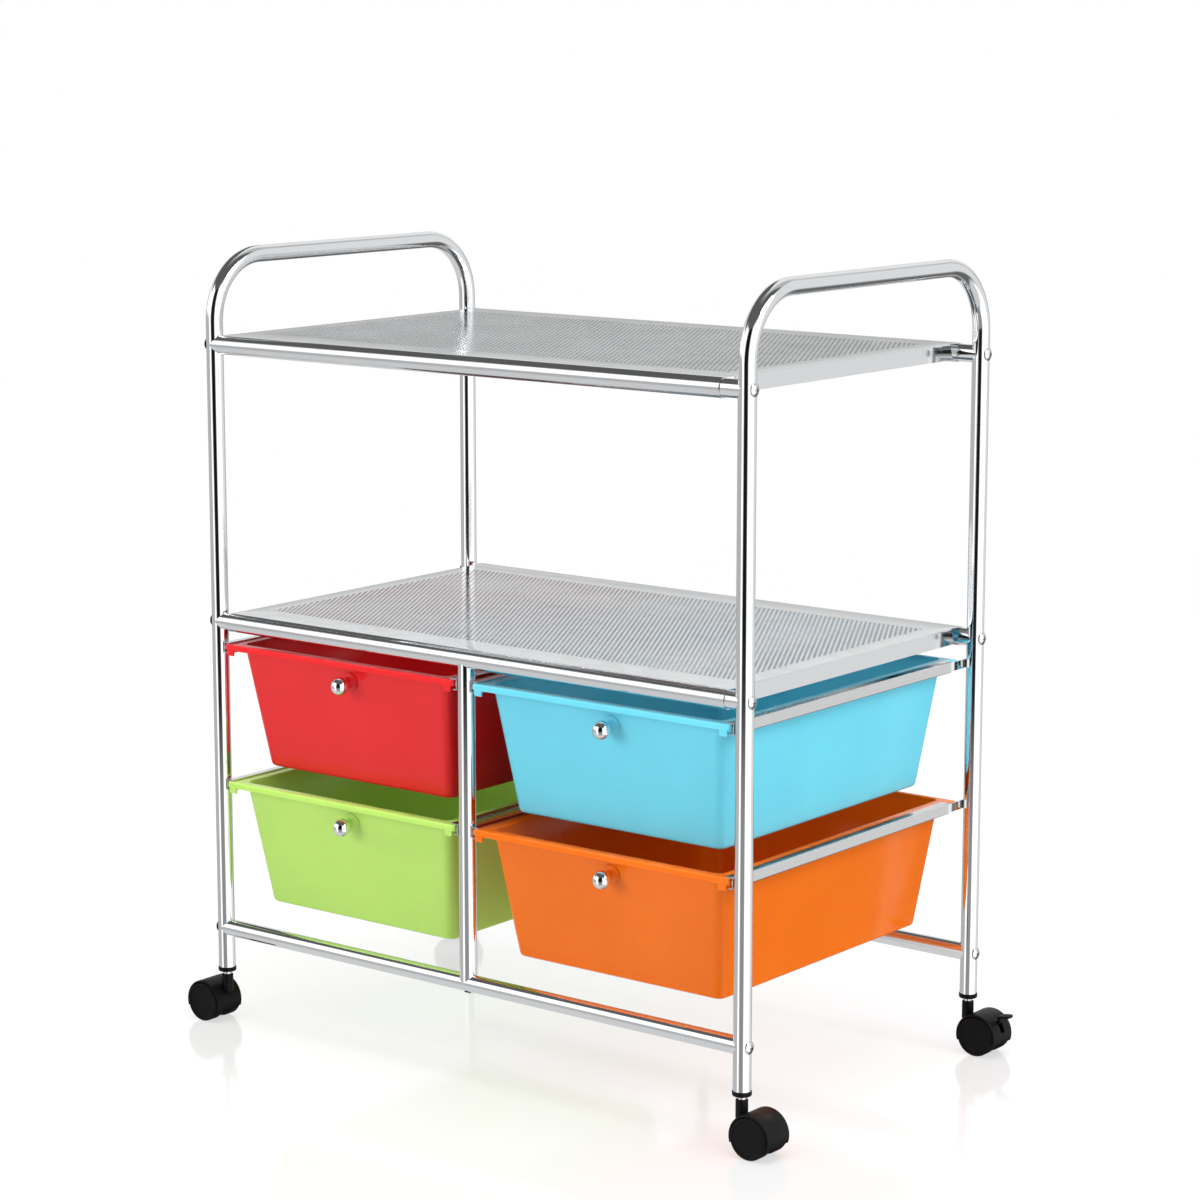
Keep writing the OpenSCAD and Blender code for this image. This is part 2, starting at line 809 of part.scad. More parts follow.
runner(1, true, upper_runner_z);  // upper_right_outer_runner
runner(-1, true, lower_runner_z);  // lower_left_outer_runner
runner(-1, false, lower_runner_z);  // lower_left_centre_runner
runner(1, false, lower_runner_z);  // lower_right_centre_runner
runner(1, true, lower_runner_z);  // lower_right_outer_runner
runner_rivets();
drawer(-1, upper_runner_z, "crimson");  // upper_left_drawer
drawer(1, upper_runner_z, "skyblue");  // upper_right_drawer
drawer(-1, lower_runner_z, "yellowgreen");  // lower_left_drawer
drawer(1, lower_runner_z, "darkorange");  // lower_right_drawer
knob(-1, upper_runner_z);  // upper_left_knob
knob(1, upper_runner_z);  // upper_right_knob
knob(-1, lower_runner_z);  // lower_left_knob
knob(1, lower_runner_z);  // lower_right_knob
knob_screw(-1, upper_runner_z);  // upper_left_knob_screw
knob_screw(1, upper_runner_z);  // upper_right_knob_screw
knob_screw(-1, lower_runner_z);  // lower_left_knob_screw
knob_screw(1, lower_runner_z);  // lower_right_knob_screw
leg_sockets();
caster_stems();
hood(-1, -1, false);  // front_left_hood
hood(1, -1, false);  // front_right_hood
hood(-1, 1, true);  // rear_left_hood
hood(1, 1, true);  // rear_right_hood
axle(-1, -1);  // front_left_axle
axle(1, -1);  // front_right_axle
axle(-1, 1);  // rear_left_axle
axle(1, 1);  // rear_right_axle
wheel(-1, -1, -1);  // front_left_near_wheel
wheel(-1, -1, 1);  // front_left_far_wheel
wheel(1, -1, -1);  // front_right_near_wheel
wheel(1, -1, 1);  // front_right_far_wheel
wheel(-1, 1, -1);  // rear_left_near_wheel
wheel(-1, 1, 1);  // rear_left_far_wheel
wheel(1, 1, -1);  // rear_right_near_wheel
wheel(1, 1, 1);  // rear_right_far_wheel
brake_lever(-1);  // rear_left_brake_lever
brake_lever(1);  // rear_right_brake_lever
brake_pin(-1);  // rear_left_brake_pin
brake_pin(1);  // rear_right_brake_pin
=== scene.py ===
"""Dresses the fixed frame of a rolling drawer cart: perforated shelves, moulded drawers,
turned knobs, twin-wheel casters, their finishes, and a pale studio round them.
Metres. X runs to the right, Y to the back and Z up from the floor."""
import json
import math

import bmesh
import bpy
from mathutils import Matrix, Vector


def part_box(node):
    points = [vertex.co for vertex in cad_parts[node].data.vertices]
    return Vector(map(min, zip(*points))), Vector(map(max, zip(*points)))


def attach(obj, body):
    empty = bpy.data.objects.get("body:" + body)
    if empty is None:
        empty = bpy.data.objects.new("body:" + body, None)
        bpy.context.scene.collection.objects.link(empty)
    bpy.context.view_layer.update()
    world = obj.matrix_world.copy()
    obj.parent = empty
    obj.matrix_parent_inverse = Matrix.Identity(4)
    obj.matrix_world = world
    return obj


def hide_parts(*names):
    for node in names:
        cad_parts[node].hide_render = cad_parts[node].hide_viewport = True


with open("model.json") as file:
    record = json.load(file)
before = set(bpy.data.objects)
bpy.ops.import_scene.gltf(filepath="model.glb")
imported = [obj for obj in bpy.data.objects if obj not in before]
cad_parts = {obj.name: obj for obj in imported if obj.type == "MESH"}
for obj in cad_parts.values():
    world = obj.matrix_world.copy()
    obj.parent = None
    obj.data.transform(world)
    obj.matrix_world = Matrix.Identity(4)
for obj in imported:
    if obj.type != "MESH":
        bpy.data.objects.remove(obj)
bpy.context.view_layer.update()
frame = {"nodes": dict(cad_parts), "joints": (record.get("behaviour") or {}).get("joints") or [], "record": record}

bl_info = {
    "name": "Rolling Drawer Cart",
    "version": (1, 0, 0),
    "blender": (4, 5, 0),
    "location": "View3D > Sidebar > Drawer Cart",
    "description": "Builds the pieces, finishes and studio of a rolling drawer cart on its fixed frame",
    "category": "Object",
}

MM = 0.001
SIDES = {"left": -1, "right": 1}
ENDS = {"front": -1, "rear": 1}
DRAWER_COLOURS = {
    ("upper", "left"): "red", ("upper", "right"): "blue",
    ("lower", "left"): "green", ("lower", "right"): "orange",
}

# Edges that turn more than this are drawn sharp
SHARP_EDGE = math.radians(35)

# Corner points of a shelf's flat sheet, in order round it
SHEET_CORNERS = (
    "roll_front_left", "roll_front_right", "notch_front_right", "fold_front_right",
    "fold_rear_right", "notch_rear_right", "roll_rear_right", "roll_rear_left",
    "notch_rear_left", "fold_rear_left", "fold_front_left", "notch_front_left",
)
HOLE_SIDES = 8
ROLL_STEPS = 30

# Steps round a drawer's corner, along the hood's web, along a brake lever's bend, and between
# a fender's rings (in degrees)
CORNER_STEPS = 8
WEB_STEPS = 40
BEND_STEPS = 10
FENDER_STEP = 4

# Sides of what is turned: knobs, necks and bushes, wheels, brake pin bosses
KNOB_SIDES, NECK_SIDES, WHEEL_SIDES, BOSS_SIDES = 64, 48, 72, 32
FLOOR_SIDES = 64
SENSOR_WIDTH = 36

WHITE = (1, 1, 1, 1)
METAL_DUST = (0.62, 0.61, 0.58, 1)
PLASTIC_DUST = (0.55, 0.53, 0.5, 1)
# Colour of the painted shade in recesses and where parts meet
PAINTED_SHADE_COLOUR = (0.02, 0.02, 0.02, 1)
FLOOR_GREY = (0.22, 0.22, 0.22, 1)

# How much the hairlines are squeezed along each axis, for each way that a part was polished
UPRIGHT = (900.0, 900.0, 25.0)
LENGTHWISE = (25.0, 900.0, 900.0)
FRONT_TO_BACK = (900.0, 25.0, 900.0)

# Name, place, aim, width, power in watts, and whether the plating mirrors it
LIGHTS = (
    ("Overhead", (0.2, -0.3, 2.6), (0, 0, 0.4), 2.0, 84, False),
    ("Right", (3.2, 0.3, 2.6), (0, 0, 0.3), 1.6, 66, True),
    ("Front fill", (-0.9, -3.4, 1.3), (0, 0, 0.3), 1.8, 46, False),
)


# Sizes that the pieces take from the frame

def frame_sizes():
    """Leg axes, tube radius and leg end height, read from the right side frame."""
    low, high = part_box("right_side_frame")
    tube_r = (high.x - low.x) / 2
    return {"leg_x": (low.x + high.x) / 2, "leg_y": high.y - tube_r, "tube_r": tube_r, "leg_end": low.z}


def caster_sizes():
    """Sizes shared by the four casters, read from the front right one."""
    leg = frame_sizes()
    wheel_low, wheel_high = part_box("front_right_near_wheel")
    hood_low, hood_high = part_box("front_right_hood")
    axle_x = (wheel_low.x + wheel_high.x) / 2
    return {
        "trail": axle_x - leg["leg_x"],
        "wheel_r": (wheel_high.z - wheel_low.z) / 2,
        "wheel_out": -leg["leg_y"] - wheel_low.y,
        "wheel_in": -leg["leg_y"] - wheel_high.y,
        "hood_r": hood_high.x - axle_x,
        "hood_half": (hood_high.y - hood_low.y) / 2,
        "neck_top": hood_high.z,
    }


LEG = frame_sizes()
CASTER = caster_sizes()


# Building meshes

def add_piece(name, shell, body, replaced, slot):
    """A finished mesh, from points and faces, that rides on a body and stands for frame nodes."""
    points, faces = shell
    mesh = bpy.data.meshes.new(name)
    mesh.from_pydata([tuple(p) for p in points], [], faces)
    skin = bmesh.new()
    skin.from_mesh(mesh)
    bmesh.ops.recalc_face_normals(skin, faces=skin.faces)
    skin.to_mesh(mesh)
    skin.free()
    mesh.shade_smooth()
    mesh.set_sharp_from_angle(angle=SHARP_EDGE)
    piece = bpy.data.objects.new(name, mesh)
    bpy.context.scene.collection.objects.link(piece)
    mesh.materials.append(bpy.data.materials[finish_name(slot)])
    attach(piece, body)
    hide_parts(*replaced)


def quarter_turn(steps):
    """Angles from 0 to a right angle, in equal steps."""
    return [math.radians(90 * i / steps) for i in range(steps + 1)]


def full_turn(steps):
    """Angles once round, in equal steps."""
    return [2 * math.pi * i / steps for i in range(steps)]


def radial(radius, turn, y=0.0):
    """A point round an axis along Y, its angle measured from +X upwards."""
    return Vector((radius * math.cos(turn), y, radius * math.sin(turn)))


def arc(centre, radius, start, end, steps):
    """Points of an arc in a profile's plane, angles in degrees from its first axis."""
    turns = [math.radians(start + (end - start) * i / steps) for i in range(steps + 1)]
    return [(centre[0] + radius * math.cos(t), centre[1] + radius * math.sin(t)) for t in turns]


def join_rings(rings, capped=True):
    """Points and faces of a skin through closed rings that have equal point counts."""
    count = len(rings[0])
    points = [p for ring in rings for p in ring]
    faces = []
    for a in range(0, len(points) - count, count):
        b = a + count
        for j in range(count):
            k = (j + 1) % count
            faces.append((a + j, a + k, b + k, b + j))
    if capped:
        faces.append(tuple(range(count)))
        faces.append(tuple(range(len(points) - count, len(points))))
    return points, faces


def lathe(profile, place, segments):
    """Turns a profile of (radius, height) pairs about its height axis, closed where the radius is 0."""
    points, faces, rings = [], [], []
    for radius, height in profile:
        start = len(points)
        if radius:
            points += [Vector((radius * math.cos(t), radius * math.sin(t), height))
                       for t in full_turn(segments)]
        else:
            points.append(Vector((0, 0, height)))
        rings.append(range(start, len(points)))
    for low, high in zip(rings, rings[1:]):
        for i in range(segments):
            j = (i + 1) % segments
            if len(low) > 1 and len(high) > 1:
                faces.append((low[i], low[j], high[j], high[i]))
            elif len(high) > 1:
                faces.append((low[0], high[i], high[j]))
            elif len(low) > 1:
                faces.append((low[i], low[j], high[0]))
    return [place @ p for p in points], faces


def merge_shells(shells):
    """Several closed skins as the points and faces of one mesh."""
    points, faces = [], []
    for more_points, more_faces in shells:
        start = len(points)
        points += more_points
        faces += [tuple(i + start for i in face) for face in more_faces]
    return points, faces


def rounded_outline(half_x, front, back, radius, splits):
    """Rounded rectangle, anticlockwise from its front left. splits holds the places along the
    front, right, back and left sides, as shares of each straight part, where it has more points."""
    radius = max(radius, 0.5 * MM)
    corners = [
        (half_x - radius, front + radius, -90), (half_x - radius, back - radius, 0),
        (-half_x + radius, back - radius, 90), (-half_x + radius, front + radius, 180),
    ]
    starts = [
        (-half_x + radius, front), (half_x, front + radius),
        (half_x - radius, back), (-half_x, back - radius),
    ]
    ends = [
        (half_x - radius, front), (half_x, back - radius),
        (-half_x + radius, back), (-half_x, front + radius),
    ]
    outline = []
    for (cx, cy, turn), (ax, ay), (bx, by), shares in zip(corners, starts, ends, splits):
        outline += [(ax + (bx - ax) * share, ay + (by - ay) * share) for share in shares]
        outline += arc((cx, cy), radius, turn, turn + 90, CORNER_STEPS)
    return outline


# Shelves

class HoleField:
    """Top or bottom skin of a punched sheet: staggered rows of cells, each with one round hole."""

    def __init__(self, settings, middle_x):
        self.pitch = settings.hole_pitch
        self.row = self.pitch * math.sqrt(3) / 2
        self.hole_r = settings.hole_diameter / 2
        self.columns = int(2 * settings.field_half_x / self.pitch)
        rows = int(2 * settings.field_half_y / self.row)
        self.rows = rows if rows % 2 else rows - 1
        self.middle_x = middle_x
        self.half_x = self.columns * self.pitch / 2
        self.half_y = self.rows * self.row / 2

    def corner(self, points, known, half_step, line, z):
        """Index of the grid point at a half-pitch step along a row line."""
        key = (half_step, line)
        if key not in known:
            known[key] = len(points)
            points.append(Vector((
                self.middle_x - self.half_x + half_step * self.pitch / 2, -self.half_y + line * self.row, z)))
        return known[key]

    def skin(self, points, faces, z):
        """Adds one side of the sheet and returns its grid points and the rims of its holes."""
        known, rims = {}, []
        for line in range(self.rows):
            shift = line % 2
            for column in range(self.columns - shift):
                step = 2 * column + shift
                x = self.middle_x - self.half_x + (step + 1) * self.pitch / 2
                y = -self.half_y + (line + 0.5) * self.row
                rim = list(range(len(points), len(points) + HOLE_SIDES))
                points += [Vector((x + self.hole_r * math.cos(t), y + self.hole_r * math.sin(t), z))
                           for t in full_turn(HOLE_SIDES)]
                low = [self.corner(points, known, step + i, line, z) for i in range(3)]
                high = [self.corner(points, known, step + i, line + 1, z) for i in range(3)]
                faces += [
                    (low[2], high[2], rim[1], rim[0]), (low[2], rim[0], rim[7]),
                    (high[2], high[1], rim[2], rim[1]), (high[1], high[0], rim[3], rim[2]),
                    (high[0], low[0], rim[5], rim[4]), (high[0], rim[4], rim[3]),
                    (low[0], low[1], rim[6], rim[5]), (low[1], low[2], rim[7], rim[6]),
                ]
                rims.append(rim)
        return known, rims

    def edge(self, known, side):
        """Grid points along the field's left or right edge, from the front line to the rear one."""
        outer = 0 if side < 0 else 2 * self.columns
        inner = outer - side
        keys = []
        for line in range(self.rows):
            keys.append((outer, line))
            if line % 2:
                keys += [(inner, line), (inner, line + 1)]
        return [known[key] for key in keys + [(outer, self.rows)]]


class ShelfSheet:
    """Punched sheet with rolled long edges round the rails and side flanges folded down."""

    def __init__(self, settings, low, high):
        self.settings = settings
        self.top_z = high.z
        self.roll_r = (high.z - low.z) / 2
        self.axis_z = (high.z + low.z) / 2
        self.roll_y = high.y - self.roll_r
        self.middle_x, self.half_x = (low.x + high.x) / 2, (high.x - low.x) / 2
        self.flange_y = self.roll_y - settings.flange_gap
        self.points, self.faces = [], []

    def add_skin(self, field, z):
        """Adds one side of the flat sheet and returns its corners and the rims of its holes."""
        known, rims = field.skin(self.points, self.faces, z)
        reach = {
            "roll": (self.half_x, self.roll_y), "notch": (self.half_x, self.flange_y),
            "fold": (self.half_x - self.settings.bend_radius, self.flange_y),
        }
        outline = {}
        for name in SHEET_CORNERS:
            kind, end, hand = name.split("_")
            x, y = reach[kind]
            outline[name] = len(self.points)
            self.points.append(Vector((self.middle_x + SIDES[hand] * x, ENDS[end] * y, z)))
        corners = list(outline.values())
        last = 2 * field.columns
        front = [known[(step, 0)] for step in range(last, -1, -1)]
        rear = [known[(step, field.rows)] for step in range(last + 1)]
        self.faces += [
            (*corners[10:], *corners[:4], *front), (*corners[3:5], *reversed(field.edge(known, 1))),
            (*corners[4:10], *rear), (*corners[9:11], *field.edge(known, -1)),
        ]
        return outline, rims

    def add_fold(self, outlines, first, second, skins):
        """Both skins onwards from an edge between two corners, closed at their ends and foot."""
        rows = []
        for outline, pairs in zip(outlines, skins):
            row = [(outline[first], outline[second])]
            for pair in pairs:
                row.append((len(self.points), len(self.points) + 1))
                self.points += [Vector(p) for p in pair]
            self.faces += [(a, b, d, c) for (a, b), (c, d) in zip(row, row[1:])]
            rows.append(row)
        for (a, b), (c, d), (e, f), (g, h) in zip(rows[0], rows[0][1:], rows[1], rows[1][1:]):
            self.faces += [(a, c, g, e), (b, d, h, f)]
        self.faces.append((*rows[0][-1], *reversed(rows[1][-1])))

    def close_cut(self, outlines, first, second):
        """The sheet's cut face between two corners."""
        top, under = outlines
        self.faces.append((top[first], top[second], under[second], under[first]))

    def roll_edge(self, outlines, end):
        """Rolls the front or rear edge outwards and down round its rail."""
        skins = []
        for radius in (self.roll_r, self.roll_r - self.settings.sheet):
            pairs = []
            for i in range(1, ROLL_STEPS + 1):
                turn = self.settings.roll_angle * i / ROLL_STEPS
                y = ENDS[end] * (self.roll_y + radius * math.sin(turn))
                z = self.axis_z + radius * math.cos(turn)
                pairs.append([(self.middle_x + x, y, z) for x in (-self.half_x, self.half_x)])
            skins.append(pairs)
        self.add_fold(outlines, f"roll_{end}_left", f"roll_{end}_right", skins)
        for hand in SIDES:
            self.close_cut(outlines, f"roll_{end}_{hand}", f"notch_{end}_{hand}")

    def fold_flange(self, outlines, hand):
        """Folds the left or right end of the sheet down between the rolled edges."""
        settings, sheet, bend = self.settings, self.settings.sheet, self.settings.bend_radius
        bend_z = self.top_z - bend
        skins = []
        for radius, foot_x in ((bend, self.half_x), (bend - sheet, self.half_x - sheet)):
            profile = [(self.half_x - bend + radius * math.sin(t), bend_z + radius * math.cos(t))
                       for t in quarter_turn(6)[1:]]
            profile.append((foot_x, self.top_z - settings.flange_height))
            pairs = []
            for x, z in profile:
                slant = 0
                if z < bend_z:
                    slant = settings.flange_slant * (bend_z - z) / (settings.flange_height - bend)
                x = self.middle_x + SIDES[hand] * x
                pairs.append([(x, -self.flange_y, z), (x, self.flange_y + slant, z)])
            skins.append(pairs)
        self.add_fold(outlines, f"fold_front_{hand}", f"fold_rear_{hand}", skins)
        for end in ENDS:
            self.close_cut(outlines, f"notch_{end}_{hand}", f"fold_{end}_{hand}")

    def shell(self):
        """Points and faces of the whole sheet."""
        field = HoleField(self.settings, self.middle_x)
        top, top_rims = self.add_skin(field, self.top_z)
        under, under_rims = self.add_skin(field, self.top_z - self.settings.sheet)
        for upper, lower in zip(top_rims, under_rims):
            for k in range(HOLE_SIDES):
                m = (k + 1) % HOLE_SIDES
                self.faces.append((upper[k], upper[m], lower[m], lower[k]))
        for end, hand in zip(ENDS, SIDES):
            self.roll_edge((top, under), end)
            self.fold_flange((top, under), hand)
        return self.points, self.faces


# Drawers

def drawer_shell(settings, low, high):
    """One moulded tray: leaning walls, rounded floor edge, and a rim with turned-down lips."""
    middle_x, height = (low.x + high.x) / 2, high.z - low.z
    wall, rim, rim_corner = settings.wall, settings.rim_thickness, settings.rim_corner
    rim_half = (high.x - low.x) / 2
    wall_half = rim_half - settings.wing
    wall_front = low.y + settings.front_overhang
    wall_back = high.y - settings.back_overhang

    # Where the lips change depth along the front and the sides, each change within one small step
    step = 0.2 * MM
    straight_x = 2 * (rim_half - rim_corner)
    straight_y = high.y - low.y - 2 * rim_corner
    tab_near = settings.tab_width / straight_x
    front_splits = [step / straight_x, tab_near - step / straight_x, tab_near]
    front_splits += [1 - share for share in reversed(front_splits)]
    setback = (settings.lip_setback - rim_corner) / straight_y
    side_splits = [setback, setback + step / straight_y, 1 - step / straight_y]
    splits = [front_splits, side_splits, [], [1 - share for share in reversed(side_splits)]]
    lip, tab, deep = settings.lip, settings.lip + settings.tab_below, settings.side_lip
    corner_depths = [lip] * (CORNER_STEPS + 1)
    depths = [tab, tab, lip, lip, tab, tab] + corner_depths + [lip, deep, deep] + corner_depths
    depths += corner_depths + [deep, deep, lip] + corner_depths

    def at_wall(inset, z):
        sink = -z / height
        outline = rounded_outline(
            wall_half - settings.side_lean * sink - inset,
            wall_front + settings.front_lean * sink + inset,
            wall_back - settings.back_lean * sink - inset,
            settings.corner - inset, splits)
        return [Vector((middle_x + x, y, high.z + z)) for x, y in outline]

    def at_depths(inset, drops):
        outline = rounded_outline(rim_half - inset, low.y + inset, high.y - inset, rim_corner - inset, splits)
        return [Vector((middle_x + x, y, high.z - drop)) for (x, y), drop in zip(outline, drops)]

    def at_rim(inset, drop):
        return at_depths(inset, [drop] * len(depths))

    def at_lip(inset, rise):
        return at_depths(inset, [depth - rise for depth in depths])

    def floor_curve(inset, floor_z, radius):
        return [
            at_wall(inset + radius * (1 - math.cos(t)), floor_z + radius * (1 - math.sin(t)))
            for t in reversed(quarter_turn(5))]

    edge, soft = 0.5 * MM, settings.rim_round
    bevel = 0.3 * edge
    fillet, fillet_middle, lip_fillet = 1.5 * MM, 0.45 * MM, 0.6 * MM
    rings = floor_curve(0, -height, settings.floor_round)
    rings += [at_wall(0, -rim - fillet), at_wall(-fillet_middle, -rim - fillet_middle)]
    rings += [at_wall(-fillet, -rim)]
    rings += [at_rim(rim + lip_fillet, rim), at_rim(rim, rim + lip_fillet)]
    rings += [at_lip(rim, edge), at_lip(rim - bevel, bevel), at_lip(rim - edge, 0)]
    rings += [at_lip(edge, 0), at_lip(bevel, bevel), at_lip(0, edge)]
    rings += [at_rim(soft * (1 - math.cos(t)), soft * (1 - math.sin(t))) for t in quarter_turn(3)]
    rings += [at_wall(wall - soft * (1 - math.sin(t)), -soft * (1 - math.cos(t))) for t in quarter_turn(3)]
    rings += reversed(floor_curve(wall, -height + wall, settings.floor_round + 1 * MM))
    return join_rings(rings)


# Knobs

def knob_place(settings, low, high):
    """At the ball's middle, with Z along the knob and square to the drawer's front."""
    ball_r, front_gap = settings.ball_radius, 0.05 * MM
    ball = Vector(((low.x + high.x) / 2, low.y + ball_r + front_gap, low.z + settings.ball_rise))
    return Matrix.Translation(ball) @ Matrix.Rotation(math.radians(90) + settings.lean, 4, "X")


def knob_foot_shell(settings, low, high):
    """The round foot under the neck, moulded in the drawer's colour, flaring out to the front wall."""
    foot, neck = -settings.reach, settings.neck_radius
    foot_r, foot_t, flare = settings.foot_radius, settings.foot_edge, settings.flare_height
    soft = 0.4 * MM
    profile = [(0, foot), (foot_r - soft, foot)]
    profile += arc((foot_r - soft, foot + soft), soft, -90, 0, 3)[1:]
    profile += arc((foot_r - soft, foot + foot_t - soft), soft, 0, 90, 3)
    rim = foot_r - 1.4 * soft
    for t in quarter_turn(15)[1:]:
        profile.append((neck + (rim - neck) * (1 - math.sin(t)), foot + foot_t + flare * (1 - math.cos(t))))
    profile.append((0, foot + foot_t + flare))
    return lathe(profile, knob_place(settings, low, high), KNOB_SIDES)


def knob_ball_shell(settings, low, high):
    """The plated ball and the short neck that carries it."""
    ball_r, neck, blend = settings.ball_radius, settings.neck_radius, 1.2 * MM
    start = settings.foot_edge + settings.flare_height - settings.reach
    join_z = -math.sqrt((ball_r + blend) ** 2 - (neck + blend) ** 2)
    ball_turn = math.degrees(math.atan2(join_z, neck + blend))
    profile = [(0, start), (neck, start)]
    profile += arc((neck + blend, join_z), blend, 180, 180 + ball_turn, 6)
    profile += arc((0, 0), ball_r, ball_turn, 90, 28)[1:-1]
    profile.append((0, ball_r))
    return lathe(profile, knob_place(settings, low, high), KNOB_SIDES)


# Casters

def caster_place(side, end):
    """At a caster's stem axis on the floor, with the wheels trailing outwards along +X."""
    spot = Vector((side * LEG["leg_x"], end * LEG["leg_y"], 0))
    return Matrix.Translation(spot) @ Matrix.Scale(side, 4, Vector((1, 0, 0)))


def fender_strip(place, inner_y, outer_y, start, end, rounding, thickness):
    """Part of the hood's curved shell, between two widths and two angles about the axle."""
    outer_r = CASTER["hood_r"]
    inner_r = outer_r - thickness
    axle = Vector((CASTER["trail"], 0, CASTER["wheel_r"]))
    section = [(inner_r, inner_y), (outer_r, inner_y)]
    if rounding:
        section += arc((outer_r - rounding, outer_y - rounding), rounding, 90, 0, 5)[::-1]
    else:
        section.append((outer_r, outer_y))
    section.append((inner_r, outer_y))
    steps = max(2, int(abs(end - start) / FENDER_STEP))
    turns = [math.radians(start + (end - start) * i / steps) for i in range(steps + 1)]
    return join_rings([[place @ (axle + radial(r, turn, y)) for r, y in section] for turn in turns])


def hood_shell(settings, side, end):
    """Shell over both wheels, the web between them and the neck round the stem. A rear hood has
    an opening for its brake lever."""
    place, braked = caster_place(side, end), end > 0
    axle = Vector((CASTER["trail"], 0, CASTER["wheel_r"]))
    below, low, high = [math.degrees(turn) for turn in (
        settings.hood_below, settings.window_low, settings.window_high)]
    first, last = -below, 180 + below
    wall, slot = settings.hood_wall, settings.slot_half
    shells = []
    for hand in (-1, 1):
        turned = place @ Matrix.Scale(hand, 4, Vector((0, 1, 0)))
        shells.append(fender_strip(turned, slot, CASTER["hood_half"], first, last, settings.hood_round, wall))
    for start, stop in [(first, low), (high, last)] if braked else [(first, last)]:
        shells.append(fender_strip(place, -slot, slot, start, stop, 0, wall))

    web_r, hub = CASTER["hood_r"] - wall / 2, 5.5 * MM
    web_start = high if braked else first
    outline = [radial(web_r, math.radians(web_start + (last - web_start) * i / WEB_STEPS))
               for i in range(WEB_STEPS + 1)]
    outline += [Vector((-hub, 0, -hub)), Vector((hub, 0, -hub))]
    if braked:
        outline += [radial(web_r, math.radians(first)), radial(web_r, math.radians(low)),
                    radial(settings.window_depth, math.radians((low + high) / 2))]
    half = settings.web_half
    shells.append(join_rings([
        [place @ (axle + p + Vector((0, y, 0))) for p in outline] for y in (-half, half)]))

    neck_r, top, bore, bore_depth = settings.neck_radius, CASTER["neck_top"], 3.2 * MM, 3 * MM
    foot, chamfer, soft = CASTER["wheel_r"] + CASTER["hood_r"] / 2, 1 * MM, 0.8 * MM
    profile = [(0, foot + chamfer), (neck_r - chamfer, foot), (neck_r, foot + chamfer), (neck_r, top - soft)]
    profile += arc((neck_r - soft, top - soft), soft, 0, 90, 4)[1:]
    profile += [(bore, top), (bore, top - bore_depth), (0, top - bore_depth)]
    shells.append(lathe(profile, place, NECK_SIDES))
    return merge_shells(shells)


def wheel_shell(settings, side, end, hand):
    """One wheel with a rounded tread and a plain face inside a low rim ring."""
    r, out, inner = CASTER["wheel_r"], CASTER["wheel_out"], CASTER["wheel_in"]
    place = caster_place(side, end) @ Matrix.Translation((CASTER["trail"], 0, r))
    place = place @ Matrix.Rotation(math.radians(-90 * hand), 4, "X")
    edge, soft, fillet, dish = 1.5 * MM, 0.4 * MM, 0.3 * MM, settings.dish_depth
    rim = r - settings.rim_width
    profile = [(0, inner), (r - edge, inner)]
    profile += arc((r - edge, inner + edge), edge, -90, 0, 5)[1:]
    profile += arc((r - edge, out - edge), edge, 0, 90, 5)
    profile += arc((rim + soft, out - soft), soft, 90, 160, 3)
    profile += arc((rim - dish, out - dish + fillet), fillet, -30, -90, 3)
    profile.append((0, out - dish))
    return lathe(profile, place, WHEEL_SIDES)


